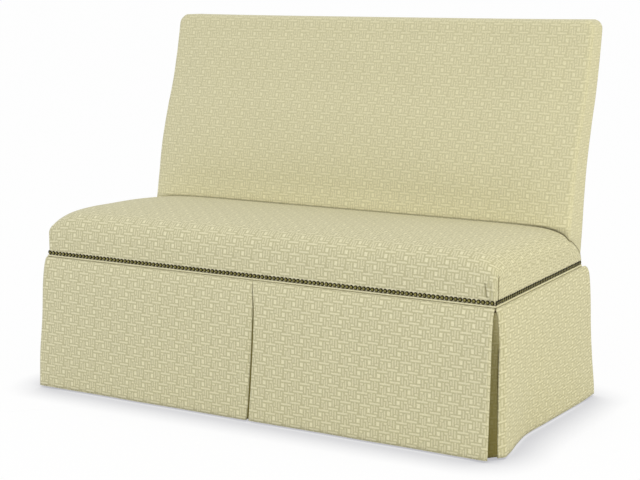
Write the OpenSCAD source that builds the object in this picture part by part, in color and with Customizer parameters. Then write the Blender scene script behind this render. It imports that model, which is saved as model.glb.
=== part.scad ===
// Upholstered banquette bench: tight crowned seat, raked back, nail trim and a kick-pleated skirt.
// X runs along the bench, -Y is its front, Z is up, and the floor is at Z = 0.
// Inside the modules Y is counted from the front face of the seat; at_home() centres the bench.

/* [Overall] */
// Length of the seat over its end faces
seat_w = 1278; // [900:1:1800]
// Depth of the seat base from its front face to the back's rear face
base_d = 567; // [480:1:700]
// Height of the nail line above the floor
rim_z = 365; // [320:1:420]
// Overall height
total_h = 977; // [850:1:1150]

/* [Seat] */
// Height of the seat's crown above the nail line
crown_h = 118; // [80:1:140]
// Drop of the seat's surface from its crown to the back
crown_fall = 20; // [5:1:30]
// Height above the nail line at which the seat tucks under the back
tuck_h = 66; // [45:1:75]
// Rounding of the seat's corners, seen from above
seat_corner_r = 10; // [6:1:14]
// Thickness of the cover fabric with its wadding
cover_t = 2.4; // [1.5:0.1:4]

/* [Back] */
// Set-in of each end of the back from the seat's end
back_in = 5; // [3:0.5:12]
// Thickness of the back at seat level
back_t_low = 100; // [85:1:130]
// Thickness of the back at its top
back_t_top = 70; // [60:1:90]
// Rake of the back from the nail line to its top
back_lean = 152; // [60:1:220]
// Rounding of the back's upper corners, seen from the front
back_corner_r = 26; // [14:1:40]
// Thickness of the outside back panel
outside_t = 2.6; // [1.5:0.1:4]

/* [Skirt] */
// Clearance of the hem above the floor
hem_gap = 8; // [4:1:25]
// Flare of the front skirt at the hem
flare_front = 29; // [12:1:45]
// Flare of the side skirts at the hem
flare_side = 26; // [12:1:45]
// Flare of the rear skirt at the hem
flare_rear = 60; // [30:1:70]
// Thickness of the lined skirt
skirt_t = 3.2; // [2:0.1:5]
// Opening of the centre pleat at the hem
pleat_open = 19; // [6:1:40]
// Place of the centre pleat from the middle of the seat
pleat_x = 5; // [-60:1:60]
// Opening of the corner pleats
corner_open = 20; // [8:1:40]
// Width of the cloth laid behind a pleat, to one side
inlay_w = 62; // [40:1:90]
// Depth of the skirt's slow waves at the hem
wave_h = 2.5; // [0:0.5:5]

/* [Trim] */
// Diameter of a nail head
nail_head_d = 10.8; // [9:0.1:14]
// Gap between neighbouring nail heads
nail_gap = 0.37; // [0.2:0.01:2]
// Height of a nail head's dome
nail_dome = 3.2; // [2:0.1:4]
// Diameter of a nail's shank
nail_shank_d = 1.8; // [1.2:0.1:2.4]
// Length of a nail's shank
nail_shank_l = 13; // [9:0.5:14]
// Diameter of the welt under the nails
welt_d = 4.8; // [3:0.1:7]

/* [Frame] */
// Thickness of a rail
rail_t = 28; // [22:1:34]
// Height of the seat rails
rail_h = 120; // [90:1:140]
// Rise of the seat rails above the nail line
rail_rise = 7; // [5:1:12]
// Side of a square front leg at its top
leg_w = 50; // [44:1:60]
// Side of a front leg at its foot
leg_foot_w = 34; // [30:1:44]
// Thickness of a back post, along the bench
post_t = 28; // [22:1:34]
// Depth of a back post where the side rail meets it
post_d = 61; // [50:1:75]
// Depth of a back post at its foot
post_foot_d = 38; // [34:1:50]
// Backward sweep of a back post's foot
post_sweep = 79; // [50:1:90]
// Depth of the posts and rails in the back, in hundredths of its thickness
back_frame_pct = 40; // [30:1:44]
// Height of the back's cross rails
back_rail_h = 58; // [40:1:80]
// Width of the back's middle stile
stile_w = 60; // [40:1:90]
// Diameter of a dowel
dowel_d = 10; // [8:0.5:12]
// Length of a dowel
dowel_l = 52; // [30:1:54]
// Reach of a corner block along its rails
block_reach = 78; // [60:1:95]
// Height of a corner block
block_h = 48; // [30:1:60]
// Diameter of a corner bolt
bolt_d = 6; // [5:0.5:8]

/* [Springs and padding] */
// Number of zig-zag springs in the seat
spring_count = 8; // [5:1:10]
// Diameter of the spring wire
wire_d = 3.8; // [3:0.1:4.5]
// Width of a spring over its bends
spring_w = 52; // [40:1:60]
// Rise of a spring from its ends to its middle
spring_rise = 25; // [12:1:27]
// Number of half turns in a spring
spring_turns = 17; // [11:2:21]
// Thickness of the pad over the springs
pad_t = 3; // [2:0.1:4]
// Height of the edge roll on the rails
edge_roll_h = 15; // [12:1:16]
// Width of the edge roll
edge_roll_w = 18; // [12:1:18]
// Number of webs in the back
web_count = 6; // [4:2:8]
// Width of a web
web_w = 50; // [30:1:60]
// Thickness of a web
web_t = 1.6; // [1:0.1:2]

/* [Feet and lining] */
// Height of a glide
glide_h = 9; // [6:1:12]
// Diameter of a glide
glide_d = 26; // [20:1:28]
// Thickness of the dust cover under the seat
dust_t = 0.8; // [0.5:0.1:1.5]
// Width of the tack strips
tack_w = 12; // [8:1:16]
// Thickness of the tack strips
tack_t = 1.6; // [1:0.1:2]

/* [Hidden] */

// Clearance between a piece and what it lies against
gap = 0.3;
// Overrun of a cutter past the face that it cuts
over = 1;
// Facets of the round pieces
$fn = 48;

// Rake of the back: shares of the height from nail line to top, against shares of the lean
lean_shares = [[0, 0], [0.14, 0.1], [0.26, 0.17], [0.4, 0.285], [0.56, 0.49], [0.69, 0.69],
    [0.82, 0.84], [0.92, 0.935], [1, 1]];
// Roll of the seat's front edge: shares of the base's depth, against shares of the crown
front_roll_shares = [[0, 0.42], [0.01, 0.66], [0.03, 0.82], [0.07, 0.93], [0.14, 0.985],
    [0.25, 1], [1, 1]];
// Roll of the seat's ends: the same shares, counted inwards from an end
end_roll_shares = [[0, 0.55], [0.006, 0.66], [0.035, 0.82], [0.1, 0.94], [0.2, 0.985],
    [0.45, 1], [1, 1]];
// Fall of the crown from its highest line to the back, in shares of that distance
fall_shares = [[0, 0], [0.5, 0.28], [1, 1]];
// Tuck of the seat under the back: shares of its depth, against shares of its height
tuck_shares = [[0.05, 1], [0.42, 0.75], [0.7, 0.51], [0.9, 0.29], [1, 0]];
// Roll of the back's edges: shares of its thickness inwards, against shares of its thickness
back_roll_shares = [[0, 0.8], [0.03, 0.88], [0.1, 0.955], [0.25, 0.985], [0.6, 1], [2, 1]];
// Hang of the front and side skirts: shares of the drop, against shares of the flare
hang_shares = [[0, 0.3], [0.06, 0.54], [0.22, 0.76], [0.5, 0.88], [1, 1]];
// Hang of the rear skirt, which the swept feet push out
rear_hang_shares = [[0, 0.3], [0.05, 0.45], [0.2, 0.6], [0.5, 0.74], [0.9, 0.97], [1, 1]];
// Edges of the centre pleat and of the corner pleats: shares of the drop, against shares of
// the opening
pleat_left_shares = [[0, -0.02], [0.2, 0.24], [0.5, 0], [0.75, -0.16], [1, -0.5]];
pleat_right_shares = [[0, 0.02], [0.2, 0.31], [0.5, 0.16], [0.75, 0.26], [1, 0.5]];
corner_front_shares = [[0, 0.05], [1, 0.3]];
corner_side_shares = [[0, -0.1], [0.09, 0.6], [0.25, 1], [0.47, 0.7], [0.74, 0.35], [1, 0.2]];

// Stations of the seat's grid: shares across its half length, and from its front to the back
seat_x_shares = [0, 0.016, 0.045, 0.1, 0.19, 0.36, 0.62, 1];
seat_y_shares = [0, 0.009, 0.025, 0.06, 0.11, 0.2, 0.31, 0.43, 0.6, 0.8, 1];
// Stations of the back's grid: shares across its half width, and from the seat to its top
back_x_shares = [0, 0.012, 0.035, 0.08, 0.2, 0.42, 0.7, 1];
back_z_shares = [0, 0.05, 0.14, 0.24, 0.34, 0.44, 0.54, 0.64, 0.74, 0.83, 0.9, 0.945, 0.975,
    0.99, 1];
// Stations down a skirt
skirt_drop_shares = [0.015, 0.06, 0.12, 0.2, 0.32, 0.47, 0.62, 0.75, 0.88, 1];
// Blending power of two rolls where they meet at a corner
roll_power = 5;
// Waves along a front or side skirt
wave_count = 2;

// Half lengths, and the face of the frame behind the cover
seat_hw = seat_w / 2;
back_hw = seat_hw - back_in;
frame_in = cover_t + gap;
frame_hw = seat_hw - frame_in;
rail_top = rim_z + rail_rise;
rail_low = rail_top - rail_h;
rail_mid = (rail_low + rail_top) / 2;
frame_share = back_frame_pct / 100;

// Straight mixing of two values
function mix(a, b, t) = a + (b - a) * t;
// Ease from 0 to 1
function ease(t) = let (s = min(1, max(0, t))) s * s * (3 - 2 * s);
// The stretch of a table of pairs that holds x
function stretch_of(table, x, i = 0) =
    (i >= len(table) - 2 || x <= table[i + 1][0]) ? i : stretch_of(table, x, i + 1);
// Slope of the smooth curve through a table, at its point i
function slope_at(table, i) = let (a = max(0, i - 1), b = min(len(table) - 1, i + 1))
    (table[b][1] - table[a][1]) / (table[b][0] - table[a][0]);
// Value at x of the smooth curve through a table of pairs
function curve_at(table, x) = let (
    i = stretch_of(table, x),
    h = table[i + 1][0] - table[i][0],
    t = min(1, max(0, (x - table[i][0]) / h)),
    m0 = slope_at(table, i) * h,
    m1 = slope_at(table, i + 1) * h)
    table[i][1] * (2 * t * t * t - 3 * t * t + 1) + m0 * (t * t * t - 2 * t * t + t)
    + table[i + 1][1] * (3 * t * t - 2 * t * t * t) + m1 * (t * t * t - t * t);
// Two rolls joined softly: a and b are shares of the full height
function soft_min(a, b) =
    pow(pow(a, -roll_power) + pow(b, -roll_power) - 1, -1 / roll_power);
// Stations over a full width from their shares of the half width, counted from an end
function across(hw, shares) = concat([for (s = shares) -hw * (1 - s)],
    [for (i = [len(shares) - 2:-1:0]) hw * (1 - shares[i])]);
// A point at distances a and c from two edges, drawn in so that their corner is round
function rounded(a, c, r) = let (u = (r - a) / r, v = (r - c) / r)
    (u <= 0 || v <= 0) ? [a, c]
    : let (m = max(u, v) / sqrt(u * u + v * v)) [r - u * m * r, r - v * m * r];

// The back's thickness, front face and rear face at a height
function rake_share(z) = (z - rim_z) / (total_h - rim_z);
function back_thick(z) = mix(back_t_low, back_t_top, min(1, max(0, rake_share(z))));
function face_y(z) = base_d - back_t_low + back_lean * curve_at(lean_shares, rake_share(z));
function rear_y(z) = face_y(z) + back_thick(z);

// Bounds along Y, and the shift that centres them
rear_reach = rear_y(total_h);
home_y = -(rear_reach - flare_front) / 2;

// The seat meets the back at this height and depth, and ends under it at tuck_end
join_z = rim_z + crown_h - crown_fall;
join_y = face_y(join_z) - gap;
tuck_end = base_d - outside_t - 3 * gap;
crown_y = base_d * 0.25;
// Lower edge of the seat cover, just above the nails' shanks
cover_low = rim_z + nail_shank_d / 2 + gap;
function tuck_y(i) = mix(join_y, tuck_end, tuck_shares[i][0]);
function tuck_z(i) = rim_z + mix(rail_rise, tuck_h, tuck_shares[i][1]);

// Height of the seat over a point, by its distances from an end and from the front
function seat_z(end, y) = let (
    e = curve_at(front_roll_shares, y / base_d),
    b = curve_at(end_roll_shares, end / base_d),
    fall = crown_fall * curve_at(fall_shares, max(0, (y - crown_y) / (join_y - crown_y))))
    rim_z + (crown_h - fall) * soft_min(min(1, e), min(1, b));
// Rows of the seat's grid: the depth of each, and the height that it stays under
seat_rows = concat([for (s = seat_y_shares) [join_y * s, total_h]],
    [for (i = [0:len(tuck_shares) - 1]) [tuck_y(i), tuck_z(i)]]);
// One point of the seat's surface, drawn in by t
function seat_point(x, row, t) = let (
    end = seat_hw - abs(x),
    z = min(seat_z(end, min(row[0], join_y)), row[1]),
    plan = rounded(end, row[0], seat_corner_r),
    side = x < 0 ? -1 : 1,
    px = side * (seat_hw - plan[0]) * (seat_hw - t) / seat_hw,
    py = mix(t, tuck_end - t, plan[1] / tuck_end))
    [px, py, z - t];
function seat_grid(t, rows = seat_rows) =
    [for (row = rows) [for (x = across(seat_hw, seat_x_shares)) seat_point(x, row, t)]];
function level(grid, z) = [for (row = grid) [for (p = row) [p[0], p[1], z]]];

// The posts' room behind them, for the outside back and its tack strips
post_in = outside_t + 3 * gap + tack_t;
post_hw = back_hw - cover_t - 2 * gap;
post_inner = post_hw - post_t;
post_seat_y = rear_y(rim_z) - post_in - post_d;
post_top = total_h - back_corner_r;
foot_z = glide_h + gap;
// Set-in of the rear rail from the posts' rear faces, and its front face
rear_rail_in = 6;
rear_rail_y = post_seat_y + post_d - rear_rail_in - rail_t;
// Forward tilt of a post just under the nail line
post_tilt = 0.12;
// Front of the back's frame at a height
function frame_y(z) = rear_y(z) - post_in - back_thick(z) * frame_share;
function post_rear_y(z) = z >= rim_z ? rear_y(z) - post_in
    : rear_y(rim_z) - post_in - post_tilt * (rim_z - z) + post_sweep * pow((rim_z - z) / rim_z, 2);
// The post's front edge is upright where the side rail meets it, and blends into the back above
post_blend = 87;
function post_front_y(z) = let (foot = post_rear_y(foot_z) - post_foot_d)
    z < rail_low ? mix(post_seat_y, foot, pow((rail_low - z) / (rail_low - foot_z), 2))
    : mix(post_seat_y, frame_y(z), ease((z - rail_top - over) / post_blend));
post_heights = concat([for (i = [0:6]) mix(foot_z, rail_low, i / 6)], [rail_top + over],
    [for (i = [1:6]) rail_top + over + post_blend * i / 6],
    [for (i = [1:20]) mix(rail_top + over + post_blend, post_top, i / 20)]);

// Heights of the back's rails
lower_rail_z = join_z - back_rail_h / 3;
top_rail_z = post_top - back_rail_h;

// Springs: their ends, and the height of their wire's centre
clip_t = 1.4;
spring_y0 = frame_in + rail_t - wire_d - gap - clip_t / 2;
spring_y1 = rear_rail_y + wire_d + gap + clip_t / 2;
spring_z0 = rail_top + clip_t + gap + wire_d / 2;
function spring_z(y) = let (t = min(1, max(0, (y - spring_y0) / (spring_y1 - spring_y0))))
    spring_z0 + spring_rise * 4 * t * (1 - t);
spring_pitch = 2 * (frame_hw - leg_w) / spring_count;
function spring_x(i) = (i - (spring_count - 1) / 2) * spring_pitch;
// The pad lies on the springs, between the clips
pad_end = clip_t + wire_d + 4 * gap;
function pad_low(y) = spring_z(y) + wire_d / 2 + gap;
pad_ys = [for (i = [0:12]) mix(spring_y0 + pad_end, spring_y1 - pad_end, i / 12)];

// The foam's underside clears the edge roll and the pad's arch between the foam's rows
foam_low = rail_top + edge_roll_h + gap;
foam_sag = spring_rise * 0.04;
foam_end = mix(join_y, tuck_end, tuck_shares[2][0]) + over;
foam_rows = [for (row = seat_rows) if (row[0] < foam_end) row];
function foam_under(y) = max(foam_low, pad_low(y) + pad_t + gap + foam_sag);

// Heights of the trim, and the skirt's drop from its heading to its hem
welt_z = rim_z - nail_head_d / 2 - gap - welt_d / 2;
skirt_top = welt_z - welt_d / 2 - gap;
skirt_drop = skirt_top - hem_gap;

// Moves the whole bench so that it stands centred on the origin
module at_home() {
    translate([0, home_y, 0]) children();
}

// Draws a piece and its mirror image at the other end
module both_ends() {
    children();
    mirror([1, 0, 0]) children();
}

// Extrudes a profile of Y and Z along the bench, centred
module along_x(length) {
    rotate([90, 0, 90]) linear_extrude(height = length, center = true) children();
}

// A closed solid between two grids of points that have the same rows and columns
module slab(outer, inner) {
    rows = len(outer);
    cols = len(outer[0]);
    n = rows * cols;
    function id(s, r, c) = s * n + r * cols + c;
    points = [for (grid = [outer, inner]) for (row = grid) for (p = row) p];
    faces = [for (r = [0:rows - 2]) for (c = [0:cols - 2]) each
        [[id(0, r, c), id(0, r + 1, c), id(0, r + 1, c + 1)],
        [id(0, r, c), id(0, r + 1, c + 1), id(0, r, c + 1)],
        [id(1, r, c), id(1, r + 1, c + 1), id(1, r + 1, c)],
        [id(1, r, c), id(1, r, c + 1), id(1, r + 1, c + 1)]]];
    row_ends = [for (r = [0:rows - 2]) each
        [[id(0, r, 0), id(1, r, 0), id(1, r + 1, 0)],
        [id(0, r, 0), id(1, r + 1, 0), id(0, r + 1, 0)],
        [id(0, r, cols - 1), id(1, r + 1, cols - 1), id(1, r, cols - 1)],
        [id(0, r, cols - 1), id(0, r + 1, cols - 1), id(1, r + 1, cols - 1)]]];
    col_ends = [for (c = [0:cols - 2]) each
        [[id(0, 0, c), id(1, 0, c + 1), id(1, 0, c)],
        [id(0, 0, c), id(0, 0, c + 1), id(1, 0, c + 1)],
        [id(0, rows - 1, c), id(1, rows - 1, c), id(1, rows - 1, c + 1)],
        [id(0, rows - 1, c), id(1, rows - 1, c + 1), id(0, rows - 1, c + 1)]]];
    polyhedron(points, concat(faces, row_ends, col_ends), convexity = 8);
}

// A shell under a crowned grid: the grid's border drops to a rim, and the inside follows it
module shell(outer, outer_rim, inner_rim, inner) {
    rows = len(outer);
    cols = len(outer[0]);
    n = rows * cols;
    m = 2 * (rows + cols) - 4;
    function ring(g) = concat([for (c = [0:cols - 2]) g[0][c]],
        [for (r = [0:rows - 2]) g[r][cols - 1]],
        [for (c = [cols - 1:-1:1]) g[rows - 1][c]],
        [for (r = [rows - 1:-1:1]) g[r][0]]);
    function strip(a, b) = [for (k = [0:m - 1]) let (j = (k + 1) % m) each
        [[a[k], a[j], b[j]], [a[k], b[j], b[k]]]];
    ids = [for (r = [0:rows - 1]) [for (c = [0:cols - 1]) r * cols + c]];
    border = ring(ids);
    outer_ring = [for (k = [0:m - 1]) n + k];
    inner_ring = [for (k = [0:m - 1]) n + m + k];
    low = n + 2 * m;
    top_faces = [for (r = [0:rows - 2]) for (c = [0:cols - 2]) each
        [[ids[r][c], ids[r + 1][c], ids[r + 1][c + 1]],
        [ids[r][c], ids[r + 1][c + 1], ids[r][c + 1]]]];
    under_faces = [for (f = top_faces) [low + f[0], low + f[2], low + f[1]]];
    points = concat([for (row = outer) for (p = row) p], ring(outer_rim), ring(inner_rim),
        [for (row = inner) for (p = row) p]);
    polyhedron(points, concat(top_faces, under_faces, strip(border, outer_ring),
        strip(outer_ring, inner_ring), strip(inner_ring, [for (b = border) low + b])),
        convexity = 8);
}

// Faces of a dowel joint at one end: each has its point, its direction and its heights
joint_zs = [rail_mid - rail_h / 5, rail_mid + rail_h / 5];
side_rail_x = frame_hw - rail_t / 2;
function dowel_places() = concat(
    [for (z = joint_zs) [[frame_hw - leg_w, frame_in + rail_t / 2, z], [0, 90, 0]]],
    [for (z = joint_zs) [[side_rail_x, frame_in + leg_w, z], [90, 0, 0]]],
    [for (z = joint_zs) [[(frame_hw - rail_t + post_hw) / 2, post_seat_y, z], [90, 0, 0]]],
    [for (z = joint_zs) [[post_inner, rear_rail_y + rail_t / 2, z], [0, 90, 0]]],
    [for (z = [lower_rail_z, top_rail_z]) for (s = [0.3, 0.7]) let (h = z + s * back_rail_h)
        [[post_inner, (frame_y(h) + rear_y(h) - post_in) / 2, h], [0, 90, 0]]]);

// Dowels of both ends, or with a spare the holes that they sit in
module dowels(spare) {
    both_ends() for (d = dowel_places()) translate(d[0]) rotate(d[1])
        cylinder(d = dowel_d + 2 * spare, h = dowel_l + 2 * spare, center = true);
}

// Places of the nails along the front and along a side
nail_pitch = nail_head_d + nail_gap;
front_nail_n = floor((seat_w - 2 * nail_head_d * 0.7) / nail_pitch);
side_nail_n = floor((tuck_end - 1.2 * nail_head_d) / nail_pitch);
function front_nail_x(i) = (i - front_nail_n / 2) * nail_pitch;
function side_nail_y(i) = nail_head_d * 0.65 + i * nail_pitch;

// Holes for the nails' shanks in the front or in the right-hand side of the frame
module front_nail_holes(x0, x1) {
    for (i = [0:front_nail_n]) if (front_nail_x(i) > x0 && front_nail_x(i) < x1)
        translate([front_nail_x(i), -over, rim_z]) rotate([-90, 0, 0])
            cylinder(d = nail_shank_d + 2 * gap, h = nail_shank_l + 2 * over);
}
module side_nail_holes(y0, y1) {
    for (i = [0:side_nail_n]) if (side_nail_y(i) > y0 && side_nail_y(i) < y1)
        translate([seat_hw + over, side_nail_y(i), rim_z]) rotate([0, -90, 0])
            cylinder(d = nail_shank_d + 2 * gap, h = nail_shank_l + 2 * over);
}

module front_rail() {
    color("burlywood") at_home() difference() {
        translate([leg_w - frame_hw, frame_in, rail_low])
            cube([2 * (frame_hw - leg_w), rail_t, rail_h]);
        dowels(gap);
        front_nail_holes(leg_w - frame_hw - over, frame_hw - leg_w + over);
    }
}

module rear_rail() {
    color("burlywood") at_home() difference() {
        translate([-post_inner, rear_rail_y, rail_low]) cube([2 * post_inner, rail_t, rail_h]);
        dowels(gap);
    }
}

module side_rail() {
    difference() {
        translate([frame_hw - rail_t, frame_in + leg_w, rail_low])
            cube([rail_t, post_seat_y - frame_in - leg_w, rail_h]);
        dowels(gap);
        side_nail_holes(frame_in + leg_w - over, post_seat_y + over);
    }
}
module right_side_rail() {
    color("burlywood") at_home() side_rail();
}
module left_side_rail() {
    color("burlywood") at_home() mirror([1, 0, 0]) side_rail();
}

module seat_cross_rail() {
    color("burlywood") at_home()
        translate([-rail_t / 2, frame_in + rail_t, rail_low + rail_t / 2])
            cube([rail_t, rear_rail_y - frame_in - rail_t, rail_h * 0.6]);
}

// Corner blocks: a front one is notched round its leg, a rear one round its post
front_block = [[frame_hw - leg_w, frame_in + rail_t], [frame_hw - leg_w, frame_in + leg_w],
    [frame_hw - rail_t, frame_in + leg_w], [frame_hw - rail_t, frame_in + rail_t + block_reach],
    [frame_hw - rail_t - block_reach, frame_in + rail_t]];
rear_block = [[post_inner, rear_rail_y], [post_inner, post_seat_y],
    [frame_hw - rail_t, post_seat_y], [frame_hw - rail_t, rear_rail_y - block_reach],
    [frame_hw - rail_t - block_reach, rear_rail_y]];
// Each bolt: where it enters its block, its turn about Z and its length in the wood
bolt_bite = 24;
bolt_places = [
    [frame_hw - rail_t - block_reach / 2, frame_in + rail_t + block_reach / 2, -45,
        (block_reach / 2 - leg_w + rail_t) * sqrt(2) + bolt_bite],
    [frame_hw - rail_t - block_reach / 2, rear_rail_y - block_reach / 2, 45,
        (post_inner - frame_hw + rail_t + block_reach / 2) * sqrt(2) + bolt_bite]];
nut_h = bolt_d * 0.8;
washer_t = bolt_d * 0.25;
module bolt_holes() {
    both_ends() for (b = bolt_places) translate([b[0], b[1], rail_mid]) rotate([0, 90, b[2]])
        translate([0, 0, -over]) cylinder(d = bolt_d + 2 * gap, h = b[3] + 2 * over);
}
module corner_blocks() {
    color("tan") at_home() difference() {
        both_ends() translate([0, 0, rail_mid - block_h / 2]) {
            linear_extrude(height = block_h) polygon(front_block);
            linear_extrude(height = block_h) polygon(rear_block);
        }
        bolt_holes();
    }
}
module corner_bolts() {
    color("silver") at_home() both_ends() for (b = bolt_places)
        translate([b[0], b[1], rail_mid]) rotate([0, 90, b[2]]) {
            translate([0, 0, -washer_t - nut_h - 1.5 * washer_t])
                cylinder(d = bolt_d, h = b[3] + washer_t + nut_h + 1.5 * washer_t);
            translate([0, 0, -washer_t]) cylinder(d = bolt_d * 2.4, h = washer_t);
            translate([0, 0, -washer_t - nut_h]) cylinder(d = bolt_d * 1.9, h = nut_h, $fn = 6);
        }
}

module frame_dowels() {
    color("wheat") at_home() dowels(0);
}

// Places of the glides, and the nail of a glide
glide_nail_d = 4;
glide_nail_l = 18;
glide_places = [[frame_hw - leg_foot_w / 2, frame_in + leg_foot_w / 2],
    [post_hw - post_t / 2, post_rear_y(foot_z) - post_foot_d / 2]];
module glide_holes() {
    both_ends() for (g = glide_places) translate([g[0], g[1], foot_z - over])
        cylinder(d = glide_nail_d + 2 * gap, h = glide_nail_l + 2 * over);
}

// The frame's front corners are rounded, to lie inside the cover's
frame_corner_r = seat_corner_r * 0.6 + cover_t * 4;
module corner_cut() {
    both_ends() translate([frame_hw - frame_corner_r, frame_in + frame_corner_r, 0])
        linear_extrude(height = total_h) difference() {
            translate([0, -frame_corner_r - over]) square(frame_corner_r + over);
            circle(r = frame_corner_r);
        }
}

// A front leg: square in the frame, its inner faces tapered below the rails
leg_outline = [[0, foot_z], [leg_foot_w, foot_z], [leg_w, rail_low], [leg_w, rail_top],
    [0, rail_top]];
module front_leg() {
    difference() {
        intersection() {
            translate([-frame_hw, frame_in + leg_w, 0]) rotate([90, 0, 0])
                linear_extrude(height = leg_w) polygon(leg_outline);
            translate([-frame_hw, frame_in, 0]) rotate([90, 0, 90])
                linear_extrude(height = leg_w) polygon(leg_outline);
        }
        dowels(gap);
        bolt_holes();
        glide_holes();
        corner_cut();
        front_nail_holes(-seat_hw, leg_w - frame_hw + over);
        mirror([1, 0, 0]) side_nail_holes(0, frame_in + leg_w + over);
    }
}
module left_front_leg() {
    color("burlywood") at_home() front_leg();
}
module right_front_leg() {
    color("burlywood") at_home() mirror([1, 0, 0]) front_leg();
}

// A back post: one swept timber from its foot to the top of the back
module post_timber(spare = 0) {
    translate([post_hw - post_t / 2, 0, 0]) along_x(post_t + 2 * spare)
        polygon(concat([for (z = post_heights) [post_front_y(z) - spare, z]],
            [for (i = [len(post_heights) - 1:-1:0])
                [post_rear_y(post_heights[i]) + spare, post_heights[i]]]));
}
module back_post() {
    difference() {
        post_timber();
        dowels(gap);
        bolt_holes();
        glide_holes();
        side_nail_holes(post_seat_y - over, base_d);
    }
}
module right_back_post() {
    color("burlywood") at_home() back_post();
}
module left_back_post() {
    color("burlywood") at_home() mirror([1, 0, 0]) back_post();
}

// A profile that follows the back's rake between two heights. Its front and its rear are each
// a share of the back's thickness and a length, counted forwards from the rear face.
function raked(z0, z1, front, rear, steps = 12) =
    let (zs = [for (i = [0:steps]) mix(z0, z1, i / steps)])
    concat([for (z = zs) [rear_y(z) - front[0] * back_thick(z) - front[1], z]],
        [for (z = [for (i = [steps:-1:0]) zs[i]])
            [rear_y(z) - rear[0] * back_thick(z) - rear[1], z]]);

module back_rail(z0) {
    difference() {
        along_x(2 * post_inner)
            polygon(raked(z0, z0 + back_rail_h, [frame_share, post_in], [0, post_in], 4));
        dowels(gap);
    }
}
module back_top_rail() {
    color("burlywood") at_home() back_rail(top_rail_z);
}
module back_lower_rail() {
    color("burlywood") at_home() back_rail(lower_rail_z);
}
module back_stile() {
    color("burlywood") at_home() along_x(stile_w)
        polygon(raked(lower_rail_z + back_rail_h, top_rail_z,
            [frame_share, post_in - 6 * web_t], [0, post_in]));
}

// One zig-zag spring: straight runs across, joined by bends that take half a pitch
spring_step = (spring_y1 - spring_y0) / spring_turns;
spring_run = spring_w / 2 - spring_step / 2;
function spring_path() = [for (k = [0:spring_turns]) let (s = k % 2 == 0 ? 1 : -1,
    y = spring_y0 + k * spring_step) each concat(
    [[-s * spring_run, y, spring_z(y)], [s * spring_run, y, spring_z(y)]],
    k == spring_turns ? []
    : [[s * spring_w / 2, y + spring_step / 2, spring_z(y + spring_step / 2)]])];
wire_sides = 5;
module wire(path) {
    n = len(path);
    function ahead(i) = path[min(n - 1, i + 1)] - path[max(0, i - 1)];
    rings = [for (i = [0:n - 1]) let (
        t = ahead(i) / norm(ahead(i)),
        side = cross(t, [0, 0, 1]) / norm(cross(t, [0, 0, 1])),
        up = cross(side, t))
        for (k = [0:wire_sides - 1]) let (a = 360 * k / wire_sides)
            path[i] + wire_d / 2 * (cos(a) * side + sin(a) * up)];
    skin = [for (i = [0:n - 2]) for (k = [0:wire_sides - 1]) let (
        a = i * wire_sides + k, b = i * wire_sides + (k + 1) % wire_sides)
        each [[a, a + wire_sides, b + wire_sides], [a, b + wire_sides, b]]];
    last = (n - 1) * wire_sides;
    caps = [for (k = [1:wire_sides - 2]) each
        [[0, k, k + 1], [last, last + k + 1, last + k]]];
    polyhedron(rings, concat(skin, caps), convexity = 10);
}
module seat_springs() {
    color("dimgray") at_home() for (i = [0:spring_count - 1])
        translate([spring_x(i), 0, 0]) wire(spring_path());
}

// A clip at each spring's end, folded round the wire's last run
clip_w = 2 * spring_run - wire_d;
clip_h = wire_d + 2 * clip_t + 2 * gap;
clip_outline = [[-wire_d / 2 - gap - clip_t, 0], [wire_d, 0], [wire_d, clip_t],
    [-wire_d / 2 - gap, clip_t], [-wire_d / 2 - gap, clip_h - clip_t],
    [wire_d / 2, clip_h - clip_t], [wire_d / 2, clip_h], [-wire_d / 2 - gap - clip_t, clip_h]];
module spring_clips() {
    color("slategray") at_home() for (i = [0:spring_count - 1]) translate([spring_x(i), 0, 0]) {
        translate([0, spring_y0, rail_top]) along_x(clip_w) polygon(clip_outline);
        translate([0, spring_y1, rail_top]) mirror([0, 1, 0]) along_x(clip_w)
            polygon(clip_outline);
    }
}

module back_webs() {
    web_pitch = 2 * post_inner / web_count;
    web_in = post_in + gap;
    color("darkkhaki") at_home() for (i = [0:web_count - 1])
        translate([(i - (web_count - 1) / 2) * web_pitch, 0, 0]) along_x(web_w)
            polygon(raked(lower_rail_z + back_rail_h / 3, top_rail_z + back_rail_h * 2 / 3,
                [frame_share, web_in + web_t], [frame_share, web_in], 16));
}

module spring_pad() {
    color("wheat") at_home() along_x(2 * (frame_hw - leg_w))
        polygon(concat([for (y = pad_ys) [y, pad_low(y)]],
            [for (i = [len(pad_ys) - 1:-1:0]) [pad_ys[i], pad_low(pad_ys[i]) + pad_t]]));
}

// Edge roll: a round-topped strip on the front and side rails
module roll_profile() {
    r = edge_roll_w / 2;
    intersection() {
        translate([-r, 0]) square([edge_roll_w, edge_roll_h]);
        union() {
            translate([0, edge_roll_h - r]) circle(r = r);
            translate([-r, 0]) square([edge_roll_w, edge_roll_h - r]);
        }
    }
}
module seat_edge_roll() {
    color("oldlace") at_home() {
        difference() {
            translate([0, frame_in + edge_roll_w / 2, rail_top]) along_x(2 * frame_hw)
                roll_profile();
            corner_cut();
        }
        both_ends() translate([frame_hw - edge_roll_w / 2, post_seat_y - gap, rail_top])
            rotate([90, 0, 0])
                linear_extrude(height = post_seat_y - frame_in - edge_roll_w - 2 * gap)
                    roll_profile();
    }
}

module seat_foam() {
    top = seat_grid(frame_in, foam_rows);
    base = [for (row = top) [for (p = row) [p[0], p[1], foam_under(p[1])]]];
    color("lightyellow") at_home() difference() {
        slab(top, base);
        both_ends() post_timber(gap);
    }
}

module seat_cover() {
    outer = seat_grid(0);
    inner = seat_grid(cover_t);
    color("#d3cd9f") at_home() difference() {
        shell(outer, level(outer, cover_low), level(inner, cover_low), inner);
        both_ends() post_timber(gap);
    }
}

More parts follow.
